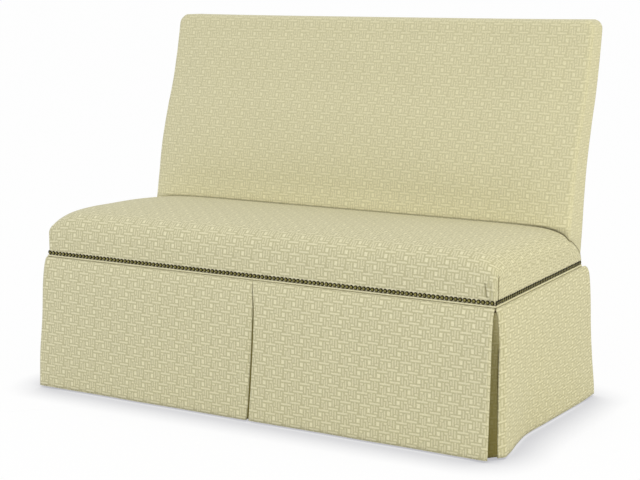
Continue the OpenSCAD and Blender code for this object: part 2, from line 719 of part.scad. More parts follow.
// Rows of the back's grid: the height of each, and the depth that it stays behind
back_rows = concat(
    [for (i = [3:-1:0]) [tuck_z(i), tuck_y(i) + 2 * gap]],
    [for (s = back_z_shares) [mix(join_z, total_h, s), 0]]);
back_low = back_rows[0][0];
// How far the back's surface stands in front of its rear face, drawn in by t
function back_depth(x, row, t) = let (
    thick = back_thick(row[0]),
    side = curve_at(back_roll_shares, min(2, (back_hw - abs(x)) / thick)),
    top = curve_at(back_roll_shares, min(2, (total_h - row[0]) / thick)))
    min(thick * soft_min(min(1, side), min(1, top)), rear_y(row[0]) - row[1]) - t;
function back_point(x, row, t, bottom) = let (
    plan = rounded(back_hw - abs(x), total_h - row[0], back_corner_r),
    side = x < 0 ? -1 : 1,
    px = side * (back_hw - plan[0]) * (back_hw - t) / back_hw,
    pz = mix(bottom, total_h - t, (total_h - plan[1] - back_low) / (total_h - back_low)))
    [px, rear_y(pz) - back_depth(x, row, t), pz];
function back_grid(t, bottom, rows = back_rows, shares = back_x_shares) =
    [for (row = rows) [for (x = across(back_hw, shares)) back_point(x, row, t, bottom)]];
function at_rear(grid) = [for (row = grid) [for (p = row) [p[0], rear_y(p[2]), p[2]]]];

module back_cover() {
    outer = back_grid(0, back_low);
    inner = back_grid(cover_t, back_low + cover_t);
    color("#cfcaa1") at_home() difference() {
        shell(outer, at_rear(outer), at_rear(inner), inner);
        both_ends() post_timber(gap);
        along_x(2 * (back_hw - cover_t)) polygon(raked(back_low - over, back_low + cover_t + over,
            [0, outside_t + 3 * gap], [0, -over], 1));
    }
}

// Back foam: between the webs and the cover, short of the rolled edges
foam_x_shares = [for (s = back_x_shares) if (s > 0) s];
back_foam_rows = [for (row = back_rows) if (row[0] > join_z && row[0] < total_h - over) row];
module back_foam() {
    front = back_grid(frame_in, back_low + frame_in, back_foam_rows, foam_x_shares);
    behind = [for (row = front) [for (p = row)
        [p[0], frame_y(p[2]) - web_t - 3 * gap, p[2]]]];
    color("lightyellow") at_home() slab(front, behind);
}

module outside_back() {
    side = back_hw - frame_in;
    corner = back_corner_r + 2 * frame_in;
    top = total_h - frame_in;
    color("#c6c197") at_home() difference() {
        along_x(2 * side) polygon(raked(cover_low, top, [0, outside_t + gap], [0, gap], 36));
        both_ends() translate([side - corner, rear_reach + over, top - corner])
            rotate([90, 0, 0]) linear_extrude(height = back_t_low) difference() {
                square(corner + over);
                circle(r = corner);
            }
    }
}

// Tack strips between the outside back and the frame, up both posts and along the top rail
module back_tack_strips() {
    near = outside_t + 2 * gap;
    color("peru") at_home() {
        both_ends() translate([post_hw - post_t / 2, 0, 0]) along_x(tack_w)
            polygon(raked(lower_rail_z, top_rail_z, [0, near + tack_t], [0, near], 30));
        along_x(2 * post_inner) polygon(raked(post_top - tack_w - gap, post_top - gap,
            [0, near + tack_t], [0, near], 1));
    }
}

// One nail: a domed head on the face at the origin, its shank along +Z
module nail(l) {
    rotate_extrude($fn = 24) polygon([[0, l], [nail_shank_d * 0.15, l],
        [nail_shank_d / 2, l - nail_shank_d], [nail_shank_d / 2, 0], [nail_head_d / 2, 0],
        [nail_head_d * 0.47, -nail_dome * 0.3], [nail_head_d * 0.38, -nail_dome * 0.62],
        [nail_head_d * 0.22, -nail_dome * 0.9], [nail_head_d * 0.06, -nail_dome],
        [0, -nail_dome]]);
}
// The front row's two end nails are clipped short of the side rows' first shanks
clipped_l = side_nail_y(0) - nail_shank_d / 2 - 2 * gap;
module front_nails() {
    color("#4d421d") at_home() for (i = [0:front_nail_n])
        translate([front_nail_x(i), 0, rim_z]) rotate([-90, 0, 0])
            nail(i % front_nail_n == 0 ? clipped_l : nail_shank_l);
}
module side_nails() {
    for (i = [0:side_nail_n])
        translate([seat_hw, side_nail_y(i), rim_z]) rotate([0, -90, 0]) nail(nail_shank_l);
}
module right_nails() {
    color("#4d421d") at_home() side_nails();
}
module left_nails() {
    color("#4d421d") at_home() mirror([1, 0, 0]) side_nails();
}

// Welts: cords against the frame, just under the nails
welt_out = gap + welt_d / 2;
module front_welt() {
    color("#d6d1a8") at_home() translate([0, frame_in - welt_out, welt_z]) along_x(
        2 * (frame_hw + welt_out + welt_d / 2)) circle(d = welt_d);
}
module side_welt() {
    translate([frame_hw + welt_out, base_d, welt_z]) rotate([90, 0, 0])
        cylinder(d = welt_d, h = base_d - frame_in);
}
module right_welt() {
    color("#d6d1a8") at_home() side_welt();
}
module left_welt() {
    color("#d6d1a8") at_home() mirror([1, 0, 0]) side_welt();
}
module rear_welt() {
    color("#d6d1a8") at_home()
        translate([0, rear_y(welt_z) - post_in + welt_out, welt_z]) along_x(
            2 * (frame_hw - gap)) circle(d = welt_d);
}

// Tack strips that hold the skirt's heading against the frame
tack_z = skirt_top - skirt_t - 2 * gap - tack_w;
module skirt_tack_strips() {
    color("peru") at_home() {
        translate([-frame_hw, frame_in - tack_t, tack_z]) cube([2 * frame_hw, tack_t, tack_w]);
        both_ends() translate([frame_hw, frame_in, tack_z])
            cube([tack_t, post_seat_y - frame_in, tack_w]);
        translate([-post_inner, rear_rail_y + rail_t, tack_z])
            cube([2 * post_inner, tack_t, tack_w]);
    }
}

// A skirt's section: its offset out from the seat's face and its height, heading first.
// The heading lies against the frame, rounds a shoulder and hangs to the hem.
function hang(flare, shares, heading) = concat(
    [[heading, skirt_top], [flare * shares[0][1] * 0.6, skirt_top]],
    [for (v = skirt_drop_shares) [flare * curve_at(shares, v), skirt_top - v * skirt_drop]]);
// The same section drawn in by t, square to itself
function drawn_in(path, t) = [for (i = [0:len(path) - 1]) let (
    a = path[max(0, i - 1)], b = path[min(len(path) - 1, i + 1)],
    d = (b - a) / norm(b - a))
    [path[i][0] + d[1] * t, i == len(path) - 1 ? path[i][1] : path[i][1] - d[0] * t]];
// How far down the skirt a row lies, from 0 at the heading to 1 at the hem
function drop_share(i) = i < 2 ? 0 : skirt_drop_shares[i - 2];
// Slow wave of a panel, inwards from its flare, at share u along it and v down it
function wave(u, v) = -wave_h * pow(sin(180 * wave_count * u) * sin(180 * u), 2) * v;

// Places of a section on the four sides: a runs along the side, o out from it
function on_front(a, o, z) = [a, -o, z];
function on_right(a, o, z) = [seat_hw + o, a, z];
function on_rear(a, o, z) = [-a, base_d + o, z];

front_hang = hang(flare_front, hang_shares, gap - frame_in);
side_hang = hang(flare_side, hang_shares, gap - frame_in);
rear_hang = hang(flare_rear, rear_hang_shares, rear_y(rim_z) - post_in + gap - base_d);
panel_steps = 10;

// Ends of the panels at row i
function centre_left(i) = pleat_x + pleat_open * curve_at(pleat_left_shares, drop_share(i)) - gap;
function centre_right(i) = pleat_x + pleat_open * curve_at(pleat_right_shares, drop_share(i)) + gap;
function front_end(i) = i < 2 ? frame_hw
    : seat_hw + corner_open * curve_at(corner_front_shares, drop_share(i));
function side_start(i) = i < 2 ? frame_in + gap
    : corner_open * curve_at(corner_side_shares, drop_share(i));
function side_end(i) = base_d + (i < 2 ? -post_in : rear_hang[i][0] - skirt_t);
function rear_end(i) = i < 2 ? frame_hw - gap : seat_hw + side_hang[i][0] - corner_open;

// Grids of a front panel between two functions of the row, of a side panel and of the rear one
function front_grid(path, left) = [for (i = [0:len(path) - 1]) [for (k = [0:panel_steps]) let (
    u = k / panel_steps,
    a = left ? mix(-front_end(i), centre_left(i), u) : mix(centre_right(i), front_end(i), u))
    on_front(a, path[i][0] + wave(u, drop_share(i)), path[i][1])]];
function side_grid(path) = [for (i = [0:len(path) - 1]) [for (k = [0:panel_steps]) let (
    u = k / panel_steps)
    on_right(mix(side_start(i), side_end(i), u), path[i][0] + wave(u, drop_share(i)),
        path[i][1])]];
function rear_grid(path) = [for (i = [0:len(path) - 1]) [for (k = [0:panel_steps]) let (
    u = k / panel_steps)
    on_rear(mix(-rear_end(i), rear_end(i), u), path[i][0], path[i][1])]];

module front_left_skirt() {
    color("#cbc69c") at_home()
        slab(front_grid(front_hang, true), front_grid(drawn_in(front_hang, skirt_t), true));
}
module front_right_skirt() {
    color("#cbc69c") at_home()
        slab(front_grid(front_hang, false), front_grid(drawn_in(front_hang, skirt_t), false));
}
module side_skirt() {
    slab(side_grid(side_hang), side_grid(drawn_in(side_hang, skirt_t)));
}
module right_skirt() {
    color("#d2cb9f") at_home() side_skirt();
}
module left_skirt() {
    color("#d2cb9f") at_home() mirror([1, 0, 0]) side_skirt();
}
module rear_skirt() {
    color("#c6c197") at_home()
        slab(rear_grid(rear_hang), rear_grid(drawn_in(rear_hang, skirt_t)));
}

// Pleat inlays hang behind the panels' edges, without a section's first rows
inlay_in = skirt_t + 2 * gap;
inlay_skip_count = 3;
function lower_part(path) = [for (i = [inlay_skip_count:len(path) - 1]) path[i]];
module centre_pleat() {
    function grid(path) = [for (p = lower_part(path)) [for (k = [0:6])
        on_front(pleat_x + mix(-inlay_w, inlay_w, k / 6), p[0], p[1])]];
    color("#a8a377") at_home()
        slab(grid(drawn_in(front_hang, inlay_in)), grid(drawn_in(front_hang, inlay_in + skirt_t)));
}
// A corner inlay runs along the front or the rear, turns the corner and runs along the side
function corner_grid(end_hang, along, t) = let (
    ends = lower_part(drawn_in(end_hang, t)), sides = lower_part(drawn_in(side_hang, t)))
    [for (i = [0:len(ends) - 1]) let (
        x = seat_hw + sides[i][0],
        y = along < 0 ? -ends[i][0] : base_d + ends[i][0],
        z = ends[i][1],
        turn = inlay_w / 8,
        plan = [[x - inlay_w, y], [x - inlay_w / 2, y], [x - turn, y],
            [x - turn * 0.3, y - along * turn * 0.3], [x, y - along * turn],
            [x, y - along * inlay_w / 2], [x, y - along * inlay_w]])
        [for (p = plan) [p[0], p[1], z]]];
module corner_pleat(end_hang, along) {
    outer = corner_grid(end_hang, along, inlay_in);
    inner = corner_grid(end_hang, along, inlay_in + skirt_t);
    if (along < 0) slab(outer, inner);
    else slab(inner, outer);
}
module front_right_pleat() {
    color("#a8a377") at_home() corner_pleat(front_hang, -1);
}
module front_left_pleat() {
    color("#a8a377") at_home() mirror([1, 0, 0]) corner_pleat(front_hang, -1);
}
module rear_right_pleat() {
    color("#a8a377") at_home() corner_pleat(rear_hang, 1);
}
module rear_left_pleat() {
    color("#a8a377") at_home() mirror([1, 0, 0]) corner_pleat(rear_hang, 1);
}

// Dust cover: a sheet under the rails, cut out round the legs and posts
module dust_cover() {
    margin = leg_w * 0.09;
    color("#2e2c28") at_home() translate([0, 0, rail_low - dust_t])
        linear_extrude(height = dust_t) difference() {
            translate([margin - frame_hw, frame_in + margin])
                square([2 * (frame_hw - margin),
                    rear_rail_y + rail_t - frame_in - 2 * margin]);
            both_ends() {
                translate([frame_hw - leg_w - gap, 0]) square([leg_w + over, leg_w + frame_in
                    + gap]);
                translate([post_inner - gap, post_seat_y - gap]) square([frame_hw, post_d]);
            }
        }
}

// Glides: round-edged feet with a nail up into the wood
glide_edge = glide_h * 0.25;
glide_outline = [[0, 0], [glide_d / 2 - glide_edge, 0], [glide_d / 2 - glide_edge * 0.3,
    glide_edge * 0.3], [glide_d / 2, glide_edge], [glide_d / 2, glide_h],
    [glide_nail_d / 2, glide_h], [glide_nail_d / 2, glide_h + glide_nail_l - glide_nail_d],
    [0, glide_h + glide_nail_l]];
module glides() {
    color("#3a3733") at_home() both_ends() for (g = glide_places)
        translate([g[0], g[1], 0]) rotate_extrude() polygon(glide_outline);
}

front_rail();
rear_rail();
left_side_rail();
right_side_rail();
seat_cross_rail();
corner_blocks();
corner_bolts();
frame_dowels();
left_front_leg();
right_front_leg();
left_back_post();
right_back_post();
back_top_rail();
back_lower_rail();
back_stile();
seat_springs();
spring_clips();
back_webs();
spring_pad();
seat_edge_roll();
seat_foam();
seat_cover();
back_foam();
back_cover();
outside_back();
back_tack_strips();
front_nails();
left_nails();
right_nails();
front_welt();
left_welt();
right_welt();
rear_welt();
skirt_tack_strips();
front_left_skirt();
front_right_skirt();
left_skirt();
right_skirt();
rear_skirt();
centre_pleat();
front_left_pleat();
front_right_pleat();
rear_left_pleat();
rear_right_pleat();
dust_cover();
glides();
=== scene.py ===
"""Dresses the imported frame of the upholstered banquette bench: cloth, trim, wood and steel."""

import math

import bmesh
import bpy
import numpy as np
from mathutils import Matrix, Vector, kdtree


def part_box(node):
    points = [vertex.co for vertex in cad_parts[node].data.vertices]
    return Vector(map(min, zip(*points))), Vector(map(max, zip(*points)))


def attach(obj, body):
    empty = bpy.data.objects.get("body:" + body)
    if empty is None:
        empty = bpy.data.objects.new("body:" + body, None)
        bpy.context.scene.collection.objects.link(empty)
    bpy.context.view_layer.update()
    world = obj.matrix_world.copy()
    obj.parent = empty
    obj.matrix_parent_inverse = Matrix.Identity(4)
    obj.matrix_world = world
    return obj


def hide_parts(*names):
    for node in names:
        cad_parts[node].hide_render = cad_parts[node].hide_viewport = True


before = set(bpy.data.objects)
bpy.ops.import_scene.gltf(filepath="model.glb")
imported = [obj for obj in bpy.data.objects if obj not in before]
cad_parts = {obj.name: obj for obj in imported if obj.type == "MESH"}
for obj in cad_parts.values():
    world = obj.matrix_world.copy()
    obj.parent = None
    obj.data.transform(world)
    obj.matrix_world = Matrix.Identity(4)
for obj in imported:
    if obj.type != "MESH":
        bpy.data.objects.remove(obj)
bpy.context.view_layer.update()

# Sizes are in millimetres: X along the bench, Y back from the seat's front face, Z up.
# They are the solids' own, but for the hem's gap: the cloth hangs 2.5 lower
MM = 0.001
HOME_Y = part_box("seat_cover")[0].y / MM

SEAT_W = 1278
BASE_D = 567
RIM_Z = 365
TOTAL_H = 977
CROWN_H = 118
CROWN_FALL = 20
TUCK_H = 66
SEAT_CORNER_R = 10
COVER_T = 2.4
BACK_IN = 5
BACK_T_LOW = 100
BACK_T_TOP = 70
BACK_LEAN = 152
BACK_CORNER_R = 26
OUTSIDE_T = 2.6
HEM_GAP = 5.5
FLARE_FRONT = 29
FLARE_SIDE = 26
FLARE_REAR = 60
SKIRT_T = 3.2
PLEAT_OPEN = 19
PLEAT_X = 5
CORNER_OPEN = 20
INLAY_W = 62
WAVE_H = 2.5
WAVE_COUNT = 2
NAIL_HEAD_D = 10.8
NAIL_GAP = 0.37
NAIL_DOME = 3.2
NAIL_SHANK_D = 1.8
NAIL_SHANK_L = 13
WELT_D = 4.8
RAIL_RISE = 7
RAIL_H = 120
LEG_W = 50
TACK_T = 1.6
DUST_T = 0.8
GAP = 0.3
ROLL_POWER = 5

# Shares that shape the seat, the back and the skirt. Rolls, hangs, pleats and corners follow
# the photo a little closer than the solids do
LEAN_SHARES = [(0, 0), (0.14, 0.1), (0.26, 0.17), (0.4, 0.285), (0.56, 0.49), (0.69, 0.69),
               (0.82, 0.84), (0.92, 0.935), (1, 1)]
FRONT_ROLL_SHARES = [(0, 0.42), (0.01, 0.66), (0.03, 0.82), (0.07, 0.93), (0.14, 0.985),
                     (0.25, 1), (1, 1)]
END_ROLL_SHARES = [(0, 0.55), (0.006, 0.66), (0.035, 0.82), (0.1, 0.94), (0.2, 0.985),
                   (0.45, 1), (1, 1)]
FALL_SHARES = [(0, 0), (0.5, 0.28), (1, 1)]
TUCK_SHARES = [(0.05, 1), (0.42, 0.75), (0.7, 0.51), (0.9, 0.29), (1, 0)]
BACK_ROLL_SHARES = [(0, 0.85), (0.03, 0.92), (0.1, 0.97), (0.25, 0.99), (0.6, 1), (2, 1)]
LOW_ROLL_SHARES = [(0, 0.94), (0.03, 0.98), (0.1, 1), (2, 1)]
HANG_SHARES = [(0, 0.3), (0.06, 0.54), (0.22, 0.76), (0.5, 0.88), (1, 1)]
SIDE_HANG_SHARES = [(0, 0.3), (0.06, 0.52), (0.22, 0.7), (0.5, 0.8), (1, 1)]
REAR_HANG_SHARES = [(0, 0.3), (0.05, 0.43), (0.2, 0.47), (0.5, 0.56), (0.75, 0.76), (0.9, 0.94),
                    (1, 1)]
PLEAT_LEFT_SHARES = [(0, -0.02), (0.1, 0.22), (0.2, 0.34), (0.35, 0.26), (0.5, 0.14),
                     (0.75, -0.14), (1, -0.5)]
PLEAT_RIGHT_SHARES = [(0, 0.02), (0.1, 0.34), (0.2, 0.55), (0.35, 0.53), (0.5, 0.44),
                      (0.75, 0.18), (1, -0.16)]
CORNER_RIGHT_SHARES = [(0, 0), (0.5, 0.02), (1, -0.08)]
CORNER_LEFT_SHARES = [(0, 0.05), (0.2, 0.25), (0.45, 0.4), (0.75, 0.9), (1, 1.05)]
CORNER_SIDE_SHARES = [(0, -0.1), (0.09, 0.15), (0.25, 0.4), (0.47, 0.3), (1, 0.2)]

SEAT_HW = SEAT_W / 2
BACK_HW = SEAT_HW - BACK_IN
FRAME_IN = COVER_T + GAP
FRAME_HW = SEAT_HW - FRAME_IN
JOIN_Z = RIM_Z + CROWN_H - CROWN_FALL
POST_IN = OUTSIDE_T + 3 * GAP + TACK_T
NAIL_PITCH = NAIL_HEAD_D + NAIL_GAP
WELT_Z = RIM_Z - NAIL_HEAD_D / 2 - GAP - WELT_D / 2
SKIRT_TOP = WELT_Z - WELT_D / 2 - GAP
SKIRT_DROP = SKIRT_TOP - HEM_GAP

# Small forms of the worn cloth: how far it sinks, dips, bows or turns in, and the reach of each.
# Among them stand the painted shade of the seam and the pleat inlays, and the painted light
# above the seam
CORNER_SINK = 0.1
SEAM_SINK = 2.5
SEAM_REACH = 4
# Painted shade in the seam between seat and back: how dark away from and at its right-hand end,
# the reach from that end, and the width of its line
SEAM_PAINTED_SHADE = (0.2, 0.95)
SEAM_PAINTED_SHADE_REACH = 130
SEAM_LINE = 3.2
# Painted light on the back just above the seam, and its reach
SEAM_PAINTED_LIGHT = 0.16
SEAM_PAINTED_LIGHT_REACH = 80
FULL_REACH = 120
SEAT_UNEVEN = 1.2
SEAT_EVEN = 30
BACK_UNEVEN = 1.0
BACK_EVEN = 40
LOW_BLEND = 90
TOP_DIP = 2.2
TOP_DIP_REACH = 150
SIDE_TURN_IN = (0.5, 10)
FRONT_TURN_IN = (0.12, 4)
NO_TURN = (0, 1)
SHOULDER = 0.015
INLAY_RISE = 3
INLAY_CUT = 42
INLAY_CUT_TOP = INLAY_W / 8
INLAY_BULGE_SHARES = (0.26, 0.03)
INLAY_DEEP_SHARE = 0.3
INLAY_TOP = 0.022
INLAY_CLOSE = 3.5
# Painted shade in the pleat inlays, at their top and further down
CORNER_PAINTED_SHADE = (0.6, 0.92)
CENTRE_PAINTED_SHADE = (0.5, 0.92)
SWELL = 4
MERGE = 0.002
LONG_WAVE = 520
PANEL_OUT = 1.2
SIDE_BOW = 23
BOW_SHARES = [(0, 0), (0.1, 0.28), (0.2, 0.68), (0.33, 0.97), (0.52, 0.66), (0.68, 0.3),
              (0.84, 0.05), (1, 0)]


def mix(a, b, t):
    """Straight mixing of two values."""
    return a + (b - a) * t


def curve(table, x):
    """The smooth curve through a table of pairs, held level past its ends."""
    xs, ys = np.array(table, float).T
    low = np.maximum(np.arange(len(xs)) - 1, 0)
    high = np.minimum(np.arange(len(xs)) + 1, len(xs) - 1)
    slope = (ys[high] - ys[low]) / (xs[high] - xs[low])
    x = np.asarray(x, float)
    i = np.clip(np.searchsorted(xs, x, side="left") - 1, 0, len(xs) - 2)
    h = xs[i + 1] - xs[i]
    t = np.clip((x - xs[i]) / h, 0, 1)
    return (ys[i] * (2 * t**3 - 3 * t**2 + 1) + slope[i] * h * (t**3 - 2 * t**2 + t)
            + ys[i + 1] * (3 * t**2 - 2 * t**3) + slope[i + 1] * h * (t**3 - t**2))


def soft_min(a, b):
    """Two rolls joined softly, both given as shares of the full height."""
    a, b = np.minimum(a, 1), np.minimum(b, 1)
    return (a**-ROLL_POWER + b**-ROLL_POWER - 1) ** (-1 / ROLL_POWER)


def rounded(a, c, r):
    """Distances a and c from two edges, drawn in so that the edges' corner is round."""
    u, v = (r - a) / r, (r - c) / r
    inside = (u > 0) & (v > 0)
    long = np.where(inside, np.sqrt(u * u + v * v), 1)
    m = np.maximum(u, v) / long
    return np.where(inside, r - u * m * r, a), np.where(inside, r - v * m * r, c)


def rake_share(z):
    return (z - RIM_Z) / (TOTAL_H - RIM_Z)


def back_thick(z):
    return mix(BACK_T_LOW, BACK_T_TOP, np.clip(rake_share(z), 0, 1))


def face_y(z):
    return BASE_D - BACK_T_LOW + BACK_LEAN * curve(LEAN_SHARES, rake_share(z))


def rear_y(z):
    return face_y(z) + back_thick(z)


JOIN_Y = float(face_y(JOIN_Z)) - GAP
TUCK_END = BASE_D - OUTSIDE_T - 3 * GAP
CROWN_Y = BASE_D * 0.25


def stations(length, fine, coarse, reach):
    """Distances from an edge, evenly fine within reach of it and then growing to coarse."""
    at, step = [0.0], fine
    while at[-1] < length:
        step = fine if at[-1] < reach else min(coarse, step * 1.15)
        at.append(at[-1] + step)
    return np.array(at) * (length / at[-1])


def from_both_ends(length, fine, coarse, reach):
    """Distances along a length, fine at both of its ends."""
    half = stations(length / 2, fine, coarse, reach)
    return np.concatenate([half, (length - half[::-1])[1:]])


def both_ways(half, fine, coarse, reach):
    """Places across a full width, counted from its middle."""
    ends = stations(half, fine, coarse, reach)
    return np.concatenate([ends - half, (half - ends[::-1])[1:]])


def slow_noise(x, y, seed):
    """Smooth unevenness between about -1 and 1, from a few long sines."""
    total = np.zeros(np.broadcast(x, y).shape)
    for k in range(1, 6):
        a, b = math.sin(seed + 2.1 * k), math.cos(seed * 1.7 + 1.3 * k)
        total = total + np.sin((a * x + b * y) * 2 * math.pi / (LONG_WAVE / k)
                               + seed * k) / k
    return total / 1.6


def up_to(x, reach):
    """A share that grows from 0 to 1 over the reach."""
    return np.clip(x / reach, 0, 1)


def lengths_along(grid, axis):
    """Length run along the rows or the columns of a grid of points."""
    steps = np.linalg.norm(np.diff(grid, axis=axis), axis=2)
    run = np.cumsum(steps, axis=axis)
    start = np.zeros_like(np.take(run, [0], axis=axis))
    return np.concatenate([start, run], axis=axis)


def from_middle(grid):
    """Places on the cloth for a grid's points, across from its middle column."""
    u = lengths_along(grid, 1)
    u = u - u[:, [grid.shape[1] // 2]]
    return np.stack([u, lengths_along(grid, 0)], axis=2)


def wall(border, border_uv, foot, towards, levels):
    """A strip from a border down to its foot; its cloth runs on from the border's."""
    t = np.linspace(0, 1, levels + 1)[:, None, None]
    grid = border[None] * (1 - t) + foot[None] * t
    drop = np.linalg.norm(foot - border, axis=1)[None, :, None] * t
    return grid, border_uv[None] + drop * np.array(towards, float)


def borders(grid, uv):
    """A grid's borders, each with its places and the way on over the cloth."""
    return [(grid[0], uv[0], (0, -1)), (grid[:, -1], uv[:, -1], (1, 0)),
            (grid[-1], uv[-1], (0, 1)), (grid[:, 0], uv[:, 0], (-1, 0))]


def in_scene(name, data):
    """A new object in the scene."""
    obj = bpy.data.objects.new(name, data)
    bpy.context.scene.collection.objects.link(obj)
    return obj


def build(name, patches, material, closed=True, shades=None):
    """One mesh from grids of points in millimetres, each with its place on the cloth."""
    points = np.concatenate([g.reshape(-1, 3) for g, _ in patches])
    places = np.concatenate([uv.reshape(-1, 2) for _, uv in patches])
    faces, start = [], 0
    for grid, _ in patches:
        rows, cols = grid.shape[:2]
        ids = start + np.arange(rows * cols).reshape(rows, cols)
        quads = np.stack([ids[:-1, :-1], ids[:-1, 1:], ids[1:, 1:], ids[1:, :-1]], axis=2)
        faces.append(quads.reshape(-1, 4))
        start += rows * cols
    faces = np.concatenate(faces)
    mesh = bpy.data.meshes.new(name)
    placed = (points + [0, HOME_Y, 0]) * MM
    mesh.from_pydata(placed.tolist(), [], faces.tolist())
    layer = mesh.uv_layers.new(name="cloth")
    layer.data.foreach_set("uv", (places[faces.ravel()] * MM).astype(np.float32).ravel())
    if shades is not None:
        shade = mesh.attributes.new("shade", "FLOAT", "POINT")
        shade.data.foreach_set("value", np.concatenate([s.ravel() for s in shades]))
    bm = bmesh.new()
    bm.from_mesh(mesh)
    bmesh.ops.remove_doubles(bm, verts=bm.verts, dist=MERGE * MM)
    bmesh.ops.dissolve_degenerate(bm, edges=bm.edges, dist=MERGE * MM)
    if closed:
        open_edges = [e for e in bm.edges if e.is_boundary]
        bmesh.ops.holes_fill(bm, edges=open_edges, sides=0)
        bmesh.ops.recalc_face_normals(bm, faces=bm.faces)
    bm.to_mesh(mesh)
    bm.free()
    mesh.polygons.foreach_set("use_smooth", [len(p.vertices) == 4 for p in mesh.polygons])
    obj = in_scene(name, mesh)
    obj.data.materials.append(material)
    return obj


def worn_by_root(obj, slot, *nodes):
    """The piece rides on the only body and stands for nodes, which it hides; slot is not used.
    """
    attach(obj, "root")
    if nodes:
        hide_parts(*nodes)
    return obj


def solid_cloth(obj, thickness):
    """Gives a sheet its thickness, inwards from the face that was drawn."""
    made = obj.modifiers.new("thickness", "SOLIDIFY")
    made.thickness = thickness * MM
    made.offset = -1
    made.use_even_offset = True
    return obj


# Cloth simulation

VOXEL = 7
LAST_FRAME = 20
PRESSURE = 4.0
HOLD_LEVELS = 4
NEAREST = 4


def in_step(share):
    """A smooth step from 0 to 1."""
    t = np.clip(share, 0, 1)
    return t * t * (3 - 2 * t)


def freed(away, reach=60, start=0.2):
    """How free the cloth is at a distance from where it is held."""
    return in_step(away / reach - start)


def points_of(mesh):
    flat = np.empty(len(mesh.vertices) * 3, np.float32)
    mesh.vertices.foreach_get("co", flat)
    return flat.reshape(-1, 3).astype(float)


def remeshed_copy(piece):
    """A copy of a cushion in even quads, for the simulation alone."""
    copy = in_scene(piece.name + "_copy", piece.data.copy())
    made = copy.modifiers.new("remesh", "REMESH")
    made.mode = "VOXEL"
    made.voxel_size = VOXEL * MM
    mesh = bpy.data.meshes.new_from_object(copy.evaluated_get(
        bpy.context.evaluated_depsgraph_get()))
    copy.modifiers.clear()
    copy.data = mesh
    return copy


def blown_up(copy, free):
    """Runs the cloth for a few frames under pressure; gives how far each point moved."""
    before = points_of(copy.data)
    group = copy.vertex_groups.new(name="held")
    share = free(before)
    for level in np.arange(HOLD_LEVELS) / HOLD_LEVELS:
        held = np.flatnonzero((share >= level) & (share < level + 1 / HOLD_LEVELS))
        group.add(held.tolist(), 1 - float(level), "REPLACE")
    cloth = copy.modifiers.new("cloth", "CLOTH")
    cloth.settings.vertex_group_mass = group.name
    cloth.settings.use_pressure = True
    cloth.settings.uniform_pressure_force = PRESSURE
    cloth.settings.effector_weights.gravity = 0
    cloth.point_cache.frame_end = LAST_FRAME
    for number in range(1, LAST_FRAME + 1):
        bpy.context.scene.frame_set(number)
    shown = copy.evaluated_get(bpy.context.evaluated_depsgraph_get())
    after = points_of(shown.to_mesh())
    shown.to_mesh_clear()
    bpy.context.scene.frame_set(1)
    return before, after - before


def simulated(piece, cap, free):
    """Moves a cushion's points with the cloth of its copy, each by no more than the cap."""
    copy = remeshed_copy(piece)
    places, moves = blown_up(copy, free)
    bpy.data.objects.remove(copy)
    tree = kdtree.KDTree(len(places))
    for k, place in enumerate(places):
        tree.insert(place, k)
    tree.balance()
    points = points_of(piece.data)
    moved = np.zeros(points.shape)
    for k, point in enumerate(points):
        near = tree.find_n(point, NEAREST)
        weight = np.array([1 / (away + VOXEL * MM / 4) for _, _, away in near])
        moved[k] = weight @ moves[[i for _, i, _ in near]] / weight.sum()
    size = np.linalg.norm(moved, axis=1, keepdims=True)
    capped = cap * np.tanh(size / cap) / np.maximum(size, 1e-9)
    points = points + moved * capped * free(points)[:, None]
    piece.data.vertices.foreach_set("co", points.astype(np.float32).ravel())
    piece.data.update()
    print(piece.name, "moved by up to", round(float((size * capped).max() / MM), 2), "mm")


# Shader helpers


def srgb(r, g, b):
    """A colour written as a screen shows it, 0 to 255, as the shader takes it."""
    c = np.array([r, g, b], float) / 255
    linear = np.where(c <= 0.04045, c / 12.92, ((c + 0.055) / 1.055) ** 2.4)
    return (*linear.tolist(), 1.0)


def node(tree, kind, links=None, **settings):
    """Adds a node; links sets its inputs, each to a value or to another node's output."""
    made = tree.nodes.new(kind)
    for key, value in settings.items():
        setattr(made, key, value)
    for key, value in (links or {}).items():
        if isinstance(value, bpy.types.NodeSocket):
            tree.links.new(value, made.inputs[key])
        else:
            made.inputs[key].default_value = value
    return made


def maths(tree, operation, *values, clamp=False):
    links = dict(enumerate(values))
    return node(tree, "ShaderNodeMath", links, operation=operation, use_clamp=clamp).outputs[0]


def blend_colour(tree, share, a, b):
    return node(tree, "ShaderNodeMix", {0: share, 6: a, 7: b}, data_type="RGBA").outputs[2]


def scaled(tree, value, gain, offset, clamp=False):
    return maths(tree, "MULTIPLY_ADD", value, gain, offset, clamp=clamp)


def lit(tree, colour, light):
    """A colour made lighter or darker."""
    links = {0: colour, "Scale": light}
    return node(tree, "ShaderNodeVectorMath", links, operation="SCALE").outputs[0]


def noise(tree, place, scale, detail, **more):
    links = {"Vector": place, "Scale": scale, "Detail": detail, **more}
    return node(tree, "ShaderNodeTexNoise", links).outputs[0]


def emptied(owner, output):
    """The node tree of a material or a world, emptied but for its output."""
    owner.use_nodes = True
    tree = owner.node_tree
    tree.nodes.clear()
    return tree, node(tree, output)


def new_material(name, links):
    """A principled material; links sets what is the same all over it."""
    material = bpy.data.materials.new(name)
    tree, out = emptied(material, "ShaderNodeOutputMaterial")
    shader = node(tree, "ShaderNodeBsdfPrincipled", links)
    tree.links.new(shader.outputs[0], out.inputs[0])
    return material, tree, shader


def object_place(tree):
    return node(tree, "ShaderNodeTexCoord").outputs["Object"]


def finish(tree, shader, colour, height, distance):
    """Gives a shader its colour, and a relief that is distance millimetres high."""
    tree.links.new(colour, shader.inputs["Base Color"])
    made = node(tree, "ShaderNodeBump", {"Height": height, "Strength": 1.0,
                                         "Distance": distance * MM})
    tree.links.new(made.outputs[0], shader.inputs["Normal"])


